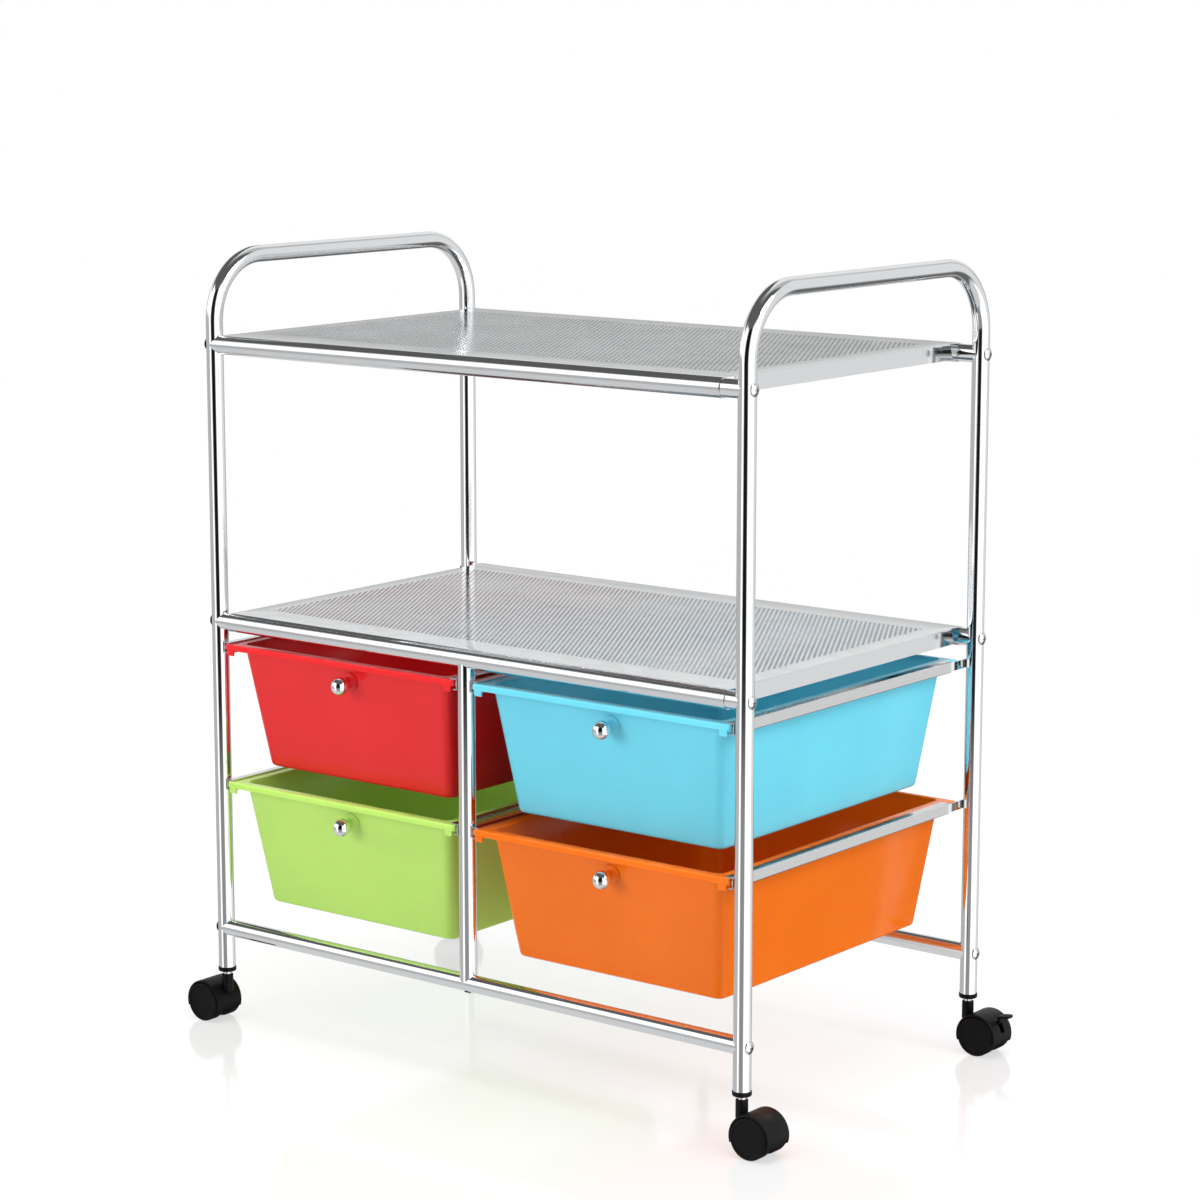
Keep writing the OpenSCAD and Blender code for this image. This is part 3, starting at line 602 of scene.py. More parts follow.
def lever_shell(settings, side):
    """Brake lever: a boss on the pin, an arm that bends up outside the hood, and a nearly level paddle."""
    name = "rear_right_brake_press"
    pivot = Vector(next(j["pos_m"] for j in frame["joints"] if j["name"] == name))
    pivot -= Vector((LEG["leg_x"] + CASTER["trail"], LEG["leg_y"], CASTER["wheel_r"]))
    place = caster_place(side, 1) @ Matrix.Translation((CASTER["trail"], 0, CASTER["wheel_r"]))
    heading = Vector((pivot.x, 0, pivot.z)).normalized()
    level = radial(1, settings.paddle_rise)
    tip = Vector((settings.paddle_reach, 0, settings.paddle_height))
    root = tip - level * settings.paddle_length

    # The middle line: straight out through the hood, a smooth bend, and the paddle's round end
    leave = heading * (CASTER["hood_r"] + 0.5 * MM)
    near, far = leave + heading * 3 * MM, root - level * 3 * MM
    line = [pivot + (leave - pivot) * share for share in (0.1, 0.55)]
    for t in [i / BEND_STEPS for i in range(BEND_STEPS + 1)]:
        s = 1 - t
        line.append(s ** 3 * leave + 3 * t * s ** 2 * near + 3 * t * t * s * far + t ** 3 * root)
    corner, paddle_half = settings.paddle_corner, settings.paddle_width / 2
    arm_half = settings.slot_half - 0.3 * MM
    widening = (0.08, 0.3, 0.6, 0.85, 0.97, 1)
    halves = [arm_half] * (len(line) - len(widening))
    halves += [arm_half + (paddle_half - arm_half) * share for share in widening]
    for t in quarter_turn(6):
        line.append(tip - level * (corner - corner * math.sin(t)))
        halves.append(paddle_half - corner + corner * math.cos(t))

    half_t, soft = settings.paddle_thickness / 2, 0.7 * MM
    rings = []
    for i, (spot, half_w) in enumerate(zip(line, halves)):
        along = (line[min(i + 1, len(line) - 1)] - line[max(i - 1, 0)]).normalized()
        over = Vector((-along.z, 0, along.x))
        ring = []
        for y, z, turn in ((1, 1, 0), (-1, 1, 90), (-1, -1, 180), (1, -1, 270)):
            ring += arc((y * (half_w - soft), z * (half_t - soft)), soft, turn, turn + 90, 4)
        rings.append([place @ (spot + Vector((0, y, 0)) + over * z) for y, z in ring])
    shells = [join_rings(rings)]

    up, rib_half, rib_r = Vector((-level.z, 0, level.x)), paddle_half - 1.6 * MM, 0.45 * MM
    for share in (0.15, 0.4, 0.65):
        spot = root + (tip - root) * share + up * (half_t - 0.1 * MM)
        section = arc((0, 0), rib_r, 0, 180, 6)
        shells.append(join_rings([
            [place @ (spot + Vector((0, y, 0)) + level * x + up * z) for x, z in section]
            for y in (-rib_half, rib_half)]))

    turned = place @ Matrix.Translation(pivot) @ Matrix.Rotation(math.radians(90), 4, "X")
    boss_r, boss_flat, boss_soft = 3.6 * MM, 3.3 * MM, 0.3 * MM
    shells.append(lathe([
        (0, -arm_half), (boss_flat, -arm_half), (boss_r, -arm_half + boss_soft),
        (boss_r, arm_half - boss_soft), (boss_flat, arm_half), (0, arm_half)], turned, BOSS_SIDES))
    return merge_shells(shells)


def socket_shell(settings):
    """The four moulded bushes in the leg ends, each with a rounded collar."""
    low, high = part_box("leg_sockets")
    collar_r = high.x - LEG["leg_x"]
    leg_end, bore = LEG["leg_end"], settings.stem_radius
    foot_soft, top_soft, chamfer = settings.collar_round, 0.4 * MM, 0.3 * MM
    plug_r = LEG["tube_r"] - 1.03 * MM
    profile = [(bore, high.z), (bore, low.z + chamfer), (bore + chamfer, low.z)]
    profile += arc((collar_r - foot_soft, low.z + foot_soft), foot_soft, -90, 0, 5)
    profile += arc((collar_r - top_soft, leg_end - top_soft), top_soft, 0, 90, 3)
    profile += [(plug_r, leg_end), (plug_r, high.z), (bore, high.z)]
    return merge_shells(
        lathe(profile, caster_place(side, end), NECK_SIDES)
        for side in SIDES.values() for end in ENDS.values())


# Node helpers

def make(tree, kind, links=(), **values):
    """A node with its named or numbered inputs set or linked, and its other values set."""
    node = tree.nodes.new(kind)
    for key, value in values.items():
        setattr(node, key, value)
    for socket, source in links:
        if isinstance(source, bpy.types.NodeSocket):
            tree.links.new(source, node.inputs[socket])
        else:
            node.inputs[socket].default_value = source
    return node


def maths(tree, operation, *sources):
    return make(tree, "ShaderNodeMath", enumerate(sources), operation=operation).outputs[0]


def vector_maths(tree, operation, *sources):
    node = make(tree, "ShaderNodeVectorMath", enumerate(sources), operation=operation)
    return node.outputs["Vector" if operation == "MULTIPLY" else "Value"]


def multiply(tree, first, second):
    return maths(tree, "MULTIPLY", first, second)


def mix(tree, factor, first, second):
    return make(tree, "ShaderNodeMix", (("Factor", factor), ("A", first), ("B", second))).outputs["Result"]


def mix_colour(tree, factor, first, second):
    return make(tree, "ShaderNodeMix", ((0, factor), (6, first), (7, second)), data_type="RGBA").outputs[2]


def noise(tree, vector, scale, detail=3.0):
    return make(tree, "ShaderNodeTexNoise", (
        ("Vector", vector), ("Scale", scale), ("Detail", detail))).outputs["Fac"]


def stretch_range(tree, source, low, high, to_low=0.0, to_high=1.0, blend="SMOOTHSTEP"):
    """The source's values between low and high, spread between the two new ends."""
    return make(tree, "ShaderNodeMapRange", (
        ("Value", source), ("From Min", low), ("From Max", high), ("To Min", to_low), ("To Max", to_high)),
        interpolation_type=blend).outputs["Result"]


def object_place(tree):
    return tree.nodes.new("ShaderNodeTexCoord").outputs["Object"]


# Effects that several finishes share

def new_group(name, inputs):
    """An empty group with its inputs, and their sockets inside it."""
    group = bpy.data.node_groups.new(name, "ShaderNodeTree")
    for title, value in inputs.items():
        kind = "NodeSocketVector" if isinstance(value, tuple) else "NodeSocketFloat"
        group.interface.new_socket(name=title, in_out="INPUT", socket_type=kind).default_value = value
    return group, group.nodes.new("NodeGroupInput").outputs


def close_group(group, title, source):
    """Gives the group its one output."""
    group.interface.new_socket(name=title, in_out="OUTPUT", socket_type="NodeSocketFloat")
    group.links.new(source, group.nodes.new("NodeGroupOutput").inputs[title])
    return group


def in_patches(group, given, mask, scale, detail, low, high):
    """The mask broken up by noise, times the group's amount."""
    patches = stretch_range(group, noise(group, object_place(group), scale, detail), low, high)
    return multiply(group, multiply(group, mask, patches), given["Amount"])


def handling_marks_group():
    """Uneven gloss from fingers and cloths."""
    group, given = new_group("Handling Marks", {"Marks per Metre": 14.0, "Cleanest": 0.05, "Dullest": 0.12})
    place = object_place(group)
    broad = noise(group, place, given["Marks per Metre"], 5.0)
    fine = noise(group, place, multiply(group, given["Marks per Metre"], 9.0), 2.0)
    gloss = stretch_range(
        group, mix(group, 0.3, broad, fine), 0.36, 0.64, given["Cleanest"], given["Dullest"], "LINEAR")
    return close_group(group, "Roughness", gloss)


def hairline_scratches_group():
    """Sparse fine scratches, long along the axis with the smallest stretch value."""
    group, given = new_group("Hairline Scratches", {"Stretch": (1500.0, 40.0, 40.0), "Amount": 0.5})
    stretched = vector_maths(group, "MULTIPLY", object_place(group), given["Stretch"])
    lines = stretch_range(group, noise(group, stretched, 1.0, 1.0), 0.66, 0.74)
    return close_group(group, "Mask", in_patches(group, given, lines, 22.0, 3.0, 0.45, 0.65))


def plating_ripple_group():
    """Slow waves that polished tube and sheet keep under the plating."""
    group, given = new_group("Plating Ripple", {"Waves per Metre": 30.0})
    return close_group(group, "Height", noise(group, object_place(group), given["Waves per Metre"], 1.0))


def moulded_grain_group():
    """Fine spark-eroded grain of a mould, with slow sink marks under it."""
    group, given = new_group("Moulded Grain", {"Grains per Metre": 1800.0, "Sink": 0.3})
    place = object_place(group)
    grain = noise(group, place, given["Grains per Metre"], 2.0)
    sink = noise(group, place, 12.0, 1.0)
    return close_group(group, "Height", mix(group, given["Sink"], grain, sink))


def settled_dust_group():
    """Thin dust on what faces up."""
    group, given = new_group("Settled Dust", {"Amount": 0.2})
    facing = group.nodes.new("ShaderNodeNewGeometry").outputs["Normal"]
    up = make(group, "ShaderNodeSeparateXYZ", ((0, facing),)).outputs["Z"]
    flat = stretch_range(group, up, 0.6, 1.0)
    return close_group(group, "Mask", in_patches(group, given, flat, 45.0, 6.0, 0.4, 0.75))


def edge_rub_group():
    """Paler edges where hands and shelves rub."""
    group, given = new_group("Edge Rub", {"Amount": 0.3})
    edge = group.nodes.new("ShaderNodeNewGeometry").outputs["Pointiness"]
    edge = stretch_range(group, edge, 0.56, 0.68)
    return close_group(group, "Mask", in_patches(group, given, edge, 60.0, 4.0, 0.35, 0.7))


def painted_corner_shade_group():
    """Painted shade, dark in recesses and where small parts meet."""
    group, given = new_group("Painted Corner Shade", {"Reach": 1.5 * MM, "Amount": 0.9})
    near = make(group, "ShaderNodeAmbientOcclusion", (("Distance", given["Reach"]),), samples=8)
    closed = stretch_range(group, near.outputs["AO"], 0.45, 0.92, 1.0, 0.0)
    return close_group(group, "Mask", multiply(group, closed, given["Amount"]))


def make_groups():
    return {
        "marks": handling_marks_group(), "scratches": hairline_scratches_group(),
        "ripple": plating_ripple_group(), "grain": moulded_grain_group(),
        "dust": settled_dust_group(), "rub": edge_rub_group(), "painted_shade": painted_corner_shade_group(),
    }


def place_group(tree, group, **values):
    node = tree.nodes.new("ShaderNodeGroup")
    node.node_tree = group
    for title, value in values.items():
        node.inputs[title.replace("_", " ")].default_value = value
    return node.outputs[0]


# Finishes

def finish_name(slot):
    return slot.replace("_", " ").title()


def new_finish(slot, metallic, specular=0.5):
    finish = bpy.data.materials.new(finish_name(slot))
    finish.use_nodes = True
    tree = finish.node_tree
    shader = tree.nodes["Principled BSDF"]
    shader.inputs["Metallic"].default_value = metallic
    shader.inputs["Specular IOR Level"].default_value = specular
    return tree, shader


def add_bump(tree, shader, height, strength, distance, under=None):
    bump = make(tree, "ShaderNodeBump", (("Height", height), ("Strength", strength), ("Distance", distance)))
    if under:
        tree.links.new(under.outputs["Normal"], bump.inputs["Normal"])
    tree.links.new(bump.outputs["Normal"], shader.inputs["Normal"])
    return bump


def dusty_gloss(tree, shader, groups, settled, dust_roughness, marks, clean, dull):
    """Gloss between clean and dull, rougher where dust has settled."""
    gloss = place_group(tree, groups["marks"], Marks_per_Metre=marks, Cleanest=clean, Dullest=dull)
    rough = maths(tree, "ADD", gloss, multiply(tree, settled, dust_roughness))
    tree.links.new(rough, shader.inputs["Roughness"])


def plated_metal(slot, groups, colour, stretch, clean, dull, scratch=0.4, ripple=30.0, wave=0.02 * MM,
                 dust=0.12, painted_shade=0.0):
    """Chrome or zinc plate: mirror base, uneven gloss, hairlines, slow ripple and a little dust."""
    tree, shader = new_finish(slot, 1.0)
    hairs = place_group(tree, groups["scratches"], Stretch=stretch, Amount=scratch)
    settled = place_group(tree, groups["dust"], Amount=dust)
    worn = mix_colour(tree, hairs, (*colour, 1), (*(c * 0.8 for c in colour), 1))
    coated = mix_colour(tree, settled, worn, METAL_DUST)
    # Painted shade: the colour is darkened in recesses and where small parts meet
    if painted_shade:
        corners = place_group(tree, groups["painted_shade"], Amount=painted_shade)
        coated = mix_colour(tree, corners, coated, PAINTED_SHADE_COLOUR)
    tree.links.new(coated, shader.inputs["Base Color"])
    dusty_gloss(tree, shader, groups, settled, 0.6, 18.0, clean, dull)
    height = place_group(tree, groups["ripple"], Waves_per_Metre=ripple)
    waves = add_bump(tree, shader, height, 0.5, wave)
    add_bump(tree, shader, hairs, 0.15, 0.03 * MM, waves)


def moulded_plastic(slot, groups, colour, clean, dull, specular, glow=0.0, rub=0.15, dust=0.06):
    """Injection-moulded plastic: slightly clouded colour, satin gloss, grain, rubbed edges and dust."""
    tree, shader = new_finish(slot, 0.0, specular)
    shader.inputs["Subsurface Weight"].default_value = glow
    shader.inputs["Subsurface Radius"].default_value = (1, 1, 1)
    shader.inputs["Subsurface Scale"].default_value = 6 * MM
    cloud = stretch_range(tree, noise(tree, object_place(tree), 9.0, 4.0), 0.3, 0.7)
    mottle = 0.03
    deep = (*(c * (1 - mottle) for c in colour), 1)
    pale = (*(min(1, c * (1 + mottle) + 0.002) for c in colour), 1)
    body = mix_colour(tree, cloud, deep, pale)
    rubbed = place_group(tree, groups["rub"], Amount=rub)
    edged = mix_colour(tree, rubbed, body, (*(c + (1 - c) * 0.25 for c in colour), 1))
    settled = place_group(tree, groups["dust"], Amount=dust)
    coated = mix_colour(tree, settled, edged, PLASTIC_DUST)
    tree.links.new(coated, shader.inputs["Base Color"])
    dusty_gloss(tree, shader, groups, settled, 0.5, 11.0, clean, dull)
    height = place_group(tree, groups["grain"], Grains_per_Metre=1800.0, Sink=0.35)
    add_bump(tree, shader, height, 0.35, 0.01 * MM)


# Studio

def view_axes():
    """Level directions to the camera's right and from the cart towards the camera."""
    turn = bpy.context.scene.cart.stage.camera_turn
    return Vector((math.cos(turn), math.sin(turn), 0)), Vector((math.sin(turn), -math.cos(turn), 0))


def build_world(settings):
    """White behind the cart. Reflections see soft boxes beside a dark gap, as in a photo tent."""
    world = bpy.data.worlds.new("Studio")
    bpy.context.scene.world = world
    world.use_nodes = True
    tree = world.node_tree
    tree.nodes.clear()
    ray = tree.nodes.new("ShaderNodeTexCoord").outputs["Generated"]
    bearing = maths(tree, "ARCTAN2", *(vector_maths(tree, "DOT_PRODUCT", ray, axis) for axis in view_axes()))
    rise = make(tree, "ShaderNodeSeparateXYZ", ((0, ray),)).outputs["Z"]

    def between(source, low, high, soft):
        rising = stretch_range(tree, source, low - soft, low + soft)
        falling = stretch_range(tree, source, high - soft, high + soft, 1.0, 0.0)
        return multiply(tree, rising, falling)

    def around(*limits):
        return between(bearing, *(math.radians(t) for t in limits))

    def level(*limits):
        return between(rise, *(math.sin(math.radians(t)) for t in limits))

    # Brightness, then the bearings right of the camera and the elevations that it covers, each
    # in degrees as its start, its end and its soft edge. A later patch lies over the earlier ones.
    patches = (
        (settings.backdrop, None, (9, 91, 3)),
        (settings.surround, (-140, 140, 8), None),
        (settings.ground_near, None, (-91, -20, 4)),
        (settings.ground_far, (95, 187, 6), (-91, -22, 7)),
        (settings.soft_box, (-128, -60, 5), (3, 40, 3)),
        (settings.soft_box, (-68, -47, 3), (-40, 40, 3)),
        (settings.side_glow, (84, 130, 6), (-20, 38, 3)),
        (settings.soft_box, (9, 86, 4), (-40, 38, 3)),
        (settings.floor_gap, (-41, 3, 1.5), (-50, -13, 1.5)),
        (settings.dark_gap, (-41, 3, 1.5), (-13, 50, 1.5)),
        (settings.ceiling, (-100, 100, 5), (40, 91, 2)),
        (settings.ceiling, (-187, -96, 5), (24, 91, 4)),
    )
    light = settings.surround
    for brightness, bearings, elevations in patches:
        masks = [mask(*limits) for mask, limits in ((around, bearings), (level, elevations)) if limits]
        light = mix(tree, multiply(tree, *masks) if len(masks) > 1 else masks[0], light, brightness)
    studio = make(tree, "ShaderNodeBackground", (("Color", WHITE), ("Strength", light)))
    plain = make(tree, "ShaderNodeBackground", (("Color", WHITE), ("Strength", 1.0)))
    seen = tree.nodes.new("ShaderNodeLightPath").outputs["Is Camera Ray"]
    mixed = make(tree, "ShaderNodeMixShader", ((0, seen), (1, studio.outputs[0]), (2, plain.outputs[0])))
    output = tree.nodes.new("ShaderNodeOutputWorld")
    tree.links.new(mixed.outputs[0], output.inputs["Surface"])


def build_floor(settings):
    """A pale glossy disc that fades out before its edge."""
    below = 0.2 * MM
    rings = [[Vector((radius * math.cos(t), radius * math.sin(t), -below)) for t in full_turn(FLOOR_SIDES)]
             for radius in (0.02, 0.5, 1.0, 1.5, 2.0, 2.5, 3.0)]
    points, faces = join_rings(rings, capped=False)
    faces.append(tuple(range(FLOOR_SIDES)))
    mesh = bpy.data.meshes.new("studio_floor")
    mesh.from_pydata([tuple(p) for p in points], [], faces)
    floor = bpy.data.objects.new("studio_floor", mesh)
    bpy.context.scene.collection.objects.link(floor)
    finish = bpy.data.materials.new("Studio Floor")
    finish.use_nodes = True
    tree = finish.node_tree
    shader = tree.nodes["Principled BSDF"]
    place = object_place(tree)
    away = vector_maths(tree, "LENGTH", place)
    fade = stretch_range(tree, away, settings.floor_solid, settings.floor_gone, 1.0, 0.0)
    tree.links.new(fade, shader.inputs["Alpha"])
    gloss = stretch_range(tree, noise(tree, place, 3.0), 0.3, 0.7, 0.09, 0.13)
    tree.links.new(gloss, shader.inputs["Roughness"])
    shader.inputs["Base Color"].default_value = FLOOR_GREY
    shader.inputs["Specular IOR Level"].default_value = 0.5
    shader.inputs["Emission Color"].default_value = WHITE
    shader.inputs["Emission Strength"].default_value = settings.floor_glow
    mesh.materials.append(finish)
    floor.visible_glossy = False


def add_soft_light(name, spot, aim, size, power, mirrored):
    lamp = bpy.data.lights.new(name, "AREA")
    lamp.shape = "SQUARE"
    lamp.size = size
    lamp.energy = power
    holder = bpy.data.objects.new(name, lamp)
    holder.location = spot
    holder.rotation_euler = (Vector(aim) - Vector(spot)).to_track_quat("-Z", "Y").to_euler()
    holder.visible_camera = False
    holder.visible_glossy = mirrored
    bpy.context.scene.collection.objects.link(holder)


# Settings

def length(name, description, size, **limits):
    """A length, given in millimetres with its limits."""
    return bpy.props.FloatProperty(
        name=name, description=description, default=size * MM, subtype="DISTANCE", unit="LENGTH",
        precision=4, **{key: limit * MM for key, limit in limits.items()})


def angle(name, description, default):
    return bpy.props.FloatProperty(
        name=name, description=description, default=math.radians(default), subtype="ANGLE", unit="ROTATION")


def colour(name, description, default):
    return bpy.props.FloatVectorProperty(
        name=name, description=description, default=default, subtype="COLOR", size=3, min=0, max=1)


def brightness(name, what, default):
    return bpy.props.FloatProperty(name=name, description=f"Brightness of {what}", default=default)


class CartShelfSettings(bpy.types.PropertyGroup):
    hole_diameter: length("Hole diameter", "Width of each punched hole", 3, min=1.5, max=4)
    hole_pitch: length("Hole pitch", "Distance between neighbouring holes", 5, min=4.5, max=12)
    field_half_x: length("Field half length", "From the shelf's middle to the last column of holes", 270)
    field_half_y: length("Field half width", "From the shelf's middle to the last row of holes", 149.5)
    sheet: length("Sheet", "Thickness of the shelf sheet", 0.8)
    bend_radius: length("Bend radius", "Outer radius of the side folds", 1.6)
    flange_height: length("Flange height", "Height of the folded side flanges", 15)
    flange_gap: length("Flange gap", "From a rail's axis to the end of the flange", 15)
    flange_slant: length("Flange slant", "How far the flange's foot reaches past its top at the rear", 4)
    roll_angle: angle("Roll angle", "How far the long edges wrap round the rails", 215)


class CartDrawerSettings(bpy.types.PropertyGroup):
    wall: length("Wall", "Thickness of the drawer's walls", 2)
    rim_thickness: length("Rim", "Thickness of the rim and its lips", 2)
    rim_round: length("Rim rounding", "Radius along the rim's edges", 0.8)
    rim_corner: length("Rim corner", "Radius of the rim's corners", 3)
    wing: length("Wing", "Width of the rim's wing on each side", 13.5)
    front_overhang: length("Front overhang", "From the rim's front to the front wall", 8.3)
    back_overhang: length("Back overhang", "From the back wall to the rim's back", 3)
    side_lean: length("Side lean", "How far each side wall leans in", 14)
    front_lean: length("Front lean", "How far the front wall leans in", 20)
    back_lean: length("Back lean", "How far the back wall leans in", 19)
    corner: length("Corner", "Radius of the upright corners", 9)
    floor_round: length("Floor rounding", "Radius along the floor's outer edge", 3.5)
    lip: length("Lip", "Height of the rim's turned-down lip", 5.8)
    side_lip: length("Side lip", "Height of the lips that ride in the runners", 7.9)
    lip_setback: length("Lip setback", "From the rim's front to the side lips", 16)
    tab_width: length("Tab width", "Width of the tabs at the rim's front corners", 8)
    tab_below: length("Tab drop", "How far the tabs hang below the lip", 5)


class CartKnobSettings(bpy.types.PropertyGroup):
    ball_radius: length("Ball radius", "Radius of the ball", 8.6)
    ball_rise: length("Ball rise", "From the knob's lowest point in the frame to the ball's middle", 8)
    reach: length("Reach", "From the front wall to the ball's middle", 14.15)
    neck_radius: length("Neck radius", "Radius of the neck behind the ball", 4)
    foot_radius: length("Foot radius", "Radius of the foot on the wall", 9)
    foot_edge: length("Foot edge", "Height of the foot's upright edge", 1.2)
    flare_height: length("Flare height", "From the foot's edge to the plain neck", 4.8)
    lean: angle("Lean", "How far the knob points down with its wall", 9.572)


class CartCasterSettings(bpy.types.PropertyGroup):
    hood_wall: length("Hood wall", "Thickness of the hood's shell", 1.6)
    hood_round: length("Hood rounding", "Radius along the hood's sides", 1.2)
    hood_below: angle("Hood reach", "How far the hood's edges lie below the axle", 18)
    slot_half: length("Slot half width", "Half the width of the brake's opening", 3.2)
    window_low: angle("Window start", "Where the brake's opening starts above the axle", 10)
    window_high: angle("Window end", "Where the brake's opening ends above the axle", 45)
    window_depth: length("Window depth", "How near the opening comes to the axle", 9)
    web_half: length("Web half width", "Half the thickness of the web between the wheels", 4.5)
    neck_radius: length("Neck radius", "Radius of the neck round the stem", 5.5)
    rim_width: length("Rim width", "Width of the raised ring on the wheel's face", 3)
    dish_depth: length("Dish depth", "How deep the wheel's face lies inside its ring", 0.7)
    paddle_length: length("Paddle length", "Length of the brake's foot paddle", 10)
    paddle_reach: length("Paddle reach", "From the axle out to the paddle's tip", 29.1)
    paddle_height: length("Paddle height", "From the axle up to the paddle's tip", 21.1)
    paddle_corner: length("Paddle corner", "Radius of the paddle's corners", 3.2)
    paddle_width: length("Paddle width", "Width of the brake's foot paddle", 11)
    paddle_thickness: length("Paddle thickness", "Thickness of the brake's foot paddle", 2.4)
    paddle_rise: angle("Paddle rise", "How far the paddle rises towards its tip", 8)
    stem_radius: length("Stem bore", "Radius of the bush's bore", 4.02)
    collar_round: length("Collar rounding", "Radius along the bush's lower edge", 1.2)


class CartFinishSettings(bpy.types.PropertyGroup):
    chrome: colour("Chrome", "Tint of the plated tubes", (0.86, 0.87, 0.885))
    sheet: colour("Sheet", "Tint of the plated shelves", (0.82, 0.835, 0.85))
    steel: colour("Steel", "Tint of the runners and small hardware", (0.74, 0.745, 0.75))
    black: colour("Black", "Colour of the moulded caster parts", (0.0035, 0.0035, 0.0038))
    tyre: colour("Tyre", "Colour of the caster wheels", (0.003, 0.0029, 0.0028))
    red: colour("Red", "Colour of the upper left drawer", (0.78, 0.018, 0.022))
    blue: colour("Blue", "Colour of the upper right drawer", (0.16, 0.645, 0.84))
    green: colour("Green", "Colour of the lower left drawer", (0.46, 0.735, 0.15))
    orange: colour("Orange", "Colour of the lower right drawer", (0.88, 0.165, 0.003))


class CartStageSettings(bpy.types.PropertyGroup):
    camera_spot: bpy.props.FloatVectorProperty(
        name="Camera", description="Where the camera stands", default=(1.88489, -2.39922, 0.96268),
        subtype="TRANSLATION", unit="LENGTH", size=3)
    camera_tilt: angle("Camera tilt", "How far the camera looks down", 10.077)
    camera_turn: angle("Camera turn", "How far the camera stands round to the right", 38.022)
    lens: bpy.props.FloatProperty(
        name="Lens", description="Focal length", default=99.73, subtype="DISTANCE_CAMERA")
    surround: brightness("Surround", "the studio walls", 0.5)
    backdrop: brightness("Backdrop", "the wall high behind the cart", 0.86)
    ground_near: brightness("Near ground", "the ground on the camera's side", 0.68)
    ground_far: brightness("Far ground", "the ground behind the cart", 0.14)
    soft_box: brightness("Soft boxes", "the soft boxes", 1.35)
    side_glow: brightness("Side glow", "the wall beside the right soft box", 0.8)
    dark_gap: brightness("Dark gap", "the gap between the soft boxes", 0.01)
    floor_gap: brightness("Floor gap", "the ground below the dark gap", 0.3)
    ceiling: brightness("Ceiling", "the ceiling", 0.11)
    floor_glow: brightness("Floor glow", "the lit floor table", 0.62)
    floor_solid: length("Floor", "How far the floor is solid", 1200)
    floor_gone: length("Floor end", "Where the floor has faded out", 2600)


class CartSettings(bpy.types.PropertyGroup):
    shelves: bpy.props.PointerProperty(type=CartShelfSettings)
    drawers: bpy.props.PointerProperty(type=CartDrawerSettings)
    knobs: bpy.props.PointerProperty(type=CartKnobSettings)
    casters: bpy.props.PointerProperty(type=CartCasterSettings)
    finishes: bpy.props.PointerProperty(type=CartFinishSettings)
    stage: bpy.props.PointerProperty(type=CartStageSettings)


# Operators

class CART_OT_finishes(bpy.types.Operator):
    """Make every finish and put it on the frame's own tubes, runners, screws and rivets"""
    bl_idname = "cart.finishes"
    bl_label = "Finishes"

    def execute(self, context):
        tint = context.scene.cart.finishes
        groups = make_groups()
        plated_metal("chrome_tube", groups, tint.chrome, UPRIGHT, clean=0.03, dull=0.085)
        plated_metal("chrome_sheet", groups, tint.sheet, LENGTHWISE, clean=0.09, dull=0.17, ripple=16.0)
        plated_metal("runner_steel", groups, tint.steel, FRONT_TO_BACK, clean=0.05, dull=0.12, scratch=0.6)
        # Bright steel gets painted shade in its recesses and where it meets other parts
        plated_metal("bright_steel", groups, tint.steel, LENGTHWISE, clean=0.07, dull=0.14,
                     ripple=100.0, painted_shade=0.95)
        plated_metal("knob_chrome", groups, tint.chrome, LENGTHWISE, clean=0.02, dull=0.05,
                     scratch=0.15, ripple=60.0, wave=0.01 * MM)
        moulded_plastic("black_plastic", groups, tint.black, clean=0.34, dull=0.46, specular=0.12,
                        rub=0.05, dust=0.03)
        moulded_plastic("wheel_plastic", groups, tint.tyre, clean=0.38, dull=0.52, specular=0.1,
                        rub=0.04, dust=0.02)
        for shade in ("red", "blue", "green", "orange"):
            moulded_plastic(f"{shade}_plastic", groups, getattr(tint, shade), clean=0.12, dull=0.18,
                            specular=0.3, glow=0.6)
        for part in frame["record"]["subparts"]:
            node = frame["nodes"][part["node"]]
            finish = bpy.data.materials[finish_name(part["material_slot"])]
            if not node.data.materials:
                node.data.materials.append(finish)
            for i in range(len(node.data.materials)):
                node.data.materials[i] = finish
        return {"FINISHED"}


class CART_OT_shelves(bpy.types.Operator):
    """Build both punched sheet shelves with rolled edges"""
    bl_idname = "cart.shelves"
    bl_label = "Shelves"

    def execute(self, context):
        for name in ("top_shelf", "lower_shelf"):
            sheet = ShelfSheet(context.scene.cart.shelves, *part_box(name))
            add_piece(f"{name}_punched", sheet.shell(), "frame", [name], "chrome_sheet")
        return {"FINISHED"}


class CART_OT_drawers(bpy.types.Operator):
    """Build the four moulded drawers"""
    bl_idname = "cart.drawers"
    bl_label = "Drawers"

    def execute(self, context):
        for (row, hand), shade in DRAWER_COLOURS.items():
            name = f"{row}_{hand}_drawer"
            shell = drawer_shell(context.scene.cart.drawers, *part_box(name))
            add_piece(f"{name}_moulded", shell, name, [name], f"{shade}_plastic")
        return {"FINISHED"}


class CART_OT_knobs(bpy.types.Operator):
    """Build the four knobs: a plated ball and neck on a moulded foot"""
    bl_idname = "cart.knobs"
    bl_label = "Knobs"

    def execute(self, context):
        settings = context.scene.cart.knobs
        for (row, hand), shade in DRAWER_COLOURS.items():
            name, body = f"{row}_{hand}_knob", f"{row}_{hand}_drawer"
            low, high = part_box(name)
            add_piece(f"{name}_ball", knob_ball_shell(settings, low, high), body, [name], "knob_chrome")
            add_piece(f"{name}_foot", knob_foot_shell(settings, low, high), body, [name], f"{shade}_plastic")
        return {"FINISHED"}


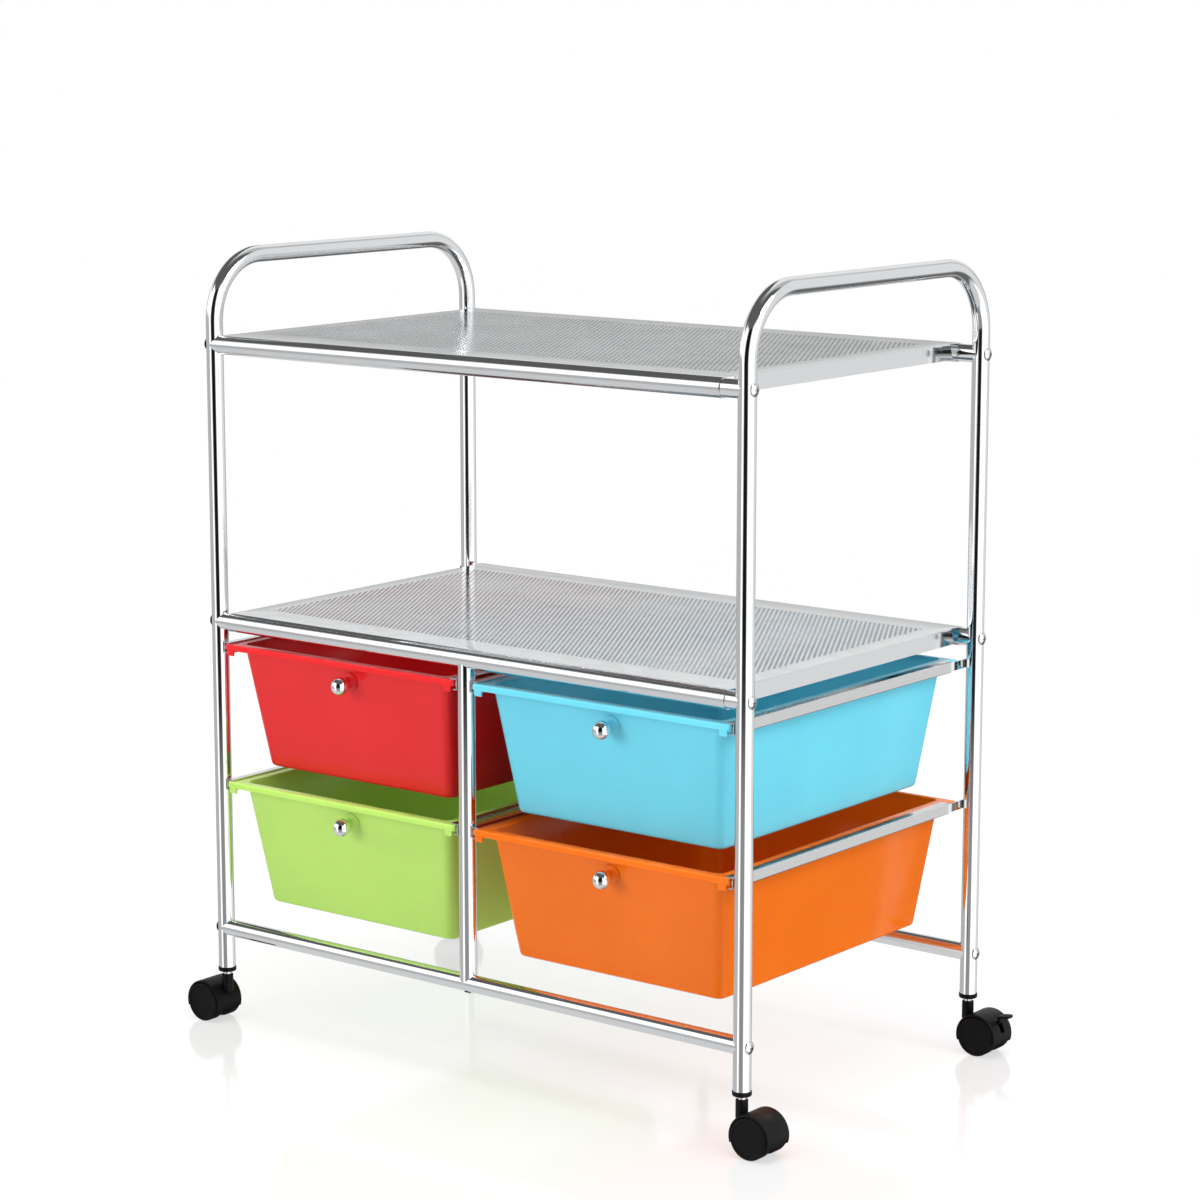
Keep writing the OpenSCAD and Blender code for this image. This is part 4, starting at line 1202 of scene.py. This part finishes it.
class CART_OT_casters(bpy.types.Operator):
    """Build the hoods, wheels, brake levers and leg bushes"""
    bl_idname = "cart.casters"
    bl_label = "Casters"

    def execute(self, context):
        settings = context.scene.cart.casters
        for end_name, end in ENDS.items():
            for side_name, side in SIDES.items():
                place = f"{end_name}_{side_name}"
                add_piece(f"{place}_hood_moulded", hood_shell(settings, side, end), f"{place}_caster",
                          [f"{place}_hood"], "black_plastic")
                for hand_name, hand in (("near", -1), ("far", 1)):
                    wheel = f"{place}_{hand_name}_wheel"
                    add_piece(f"{wheel}_moulded", wheel_shell(settings, side, end, hand), wheel, [wheel],
                              "wheel_plastic")
        for side_name, side in SIDES.items():
            brake = f"rear_{side_name}_brake"
            add_piece(f"{brake}_lever_moulded", lever_shell(settings, side), brake, [f"{brake}_lever"],
                      "black_plastic")
        add_piece("leg_sockets_moulded", socket_shell(settings), "frame", ["leg_sockets"], "black_plastic")
        return {"FINISHED"}


class CART_OT_stage(bpy.types.Operator):
    """Set the camera, the pale floor and the soft studio light"""
    bl_idname = "cart.stage"
    bl_label = "Stage"

    def execute(self, context):
        settings = context.scene.cart.stage
        lens = bpy.data.cameras.new("Camera")
        lens.lens = settings.lens
        lens.sensor_width = SENSOR_WIDTH
        camera = bpy.data.objects.new("Camera", lens)
        camera.location = settings.camera_spot
        camera.rotation_euler = (math.radians(90) - settings.camera_tilt, 0, settings.camera_turn)
        context.scene.collection.objects.link(camera)
        context.scene.camera = camera
        context.scene.view_settings.view_transform = "Standard"
        build_world(settings)
        build_floor(settings)
        for light in LIGHTS:
            add_soft_light(*light)
        return {"FINISHED"}


STEPS = (CART_OT_finishes, CART_OT_shelves, CART_OT_drawers, CART_OT_knobs, CART_OT_casters, CART_OT_stage)


class CART_PT_build(bpy.types.Panel):
    """Sizes, colours and steps of the drawer cart"""
    bl_idname = "CART_PT_build"
    bl_label = "Drawer Cart"
    bl_space_type = "VIEW_3D"
    bl_region_type = "UI"
    bl_category = "Drawer Cart"

    def draw(self, context):
        for title in ("shelves", "drawers", "knobs", "casters", "finishes", "stage"):
            group = getattr(context.scene.cart, title)
            box = self.layout.box()
            box.label(text=title.capitalize())
            for name in group.bl_rna.properties.keys():
                if name not in ("rna_type", "name"):
                    box.prop(group, name)
        for step in STEPS:
            self.layout.operator(step.bl_idname)


CLASSES = (
    CartShelfSettings, CartDrawerSettings, CartKnobSettings, CartCasterSettings, CartFinishSettings,
    CartStageSettings, CartSettings, *STEPS, CART_PT_build,
)


def register():
    for cls in CLASSES:
        bpy.utils.register_class(cls)
    bpy.types.Scene.cart = bpy.props.PointerProperty(type=CartSettings)


def unregister():
    del bpy.types.Scene.cart
    for cls in reversed(CLASSES):
        bpy.utils.unregister_class(cls)


def main():
    register()
    bpy.ops.cart.finishes()
    bpy.ops.cart.shelves()
    bpy.ops.cart.drawers()
    bpy.ops.cart.knobs()
    bpy.ops.cart.casters()
    bpy.ops.cart.stage()


if __name__ == "__main__":
    main()
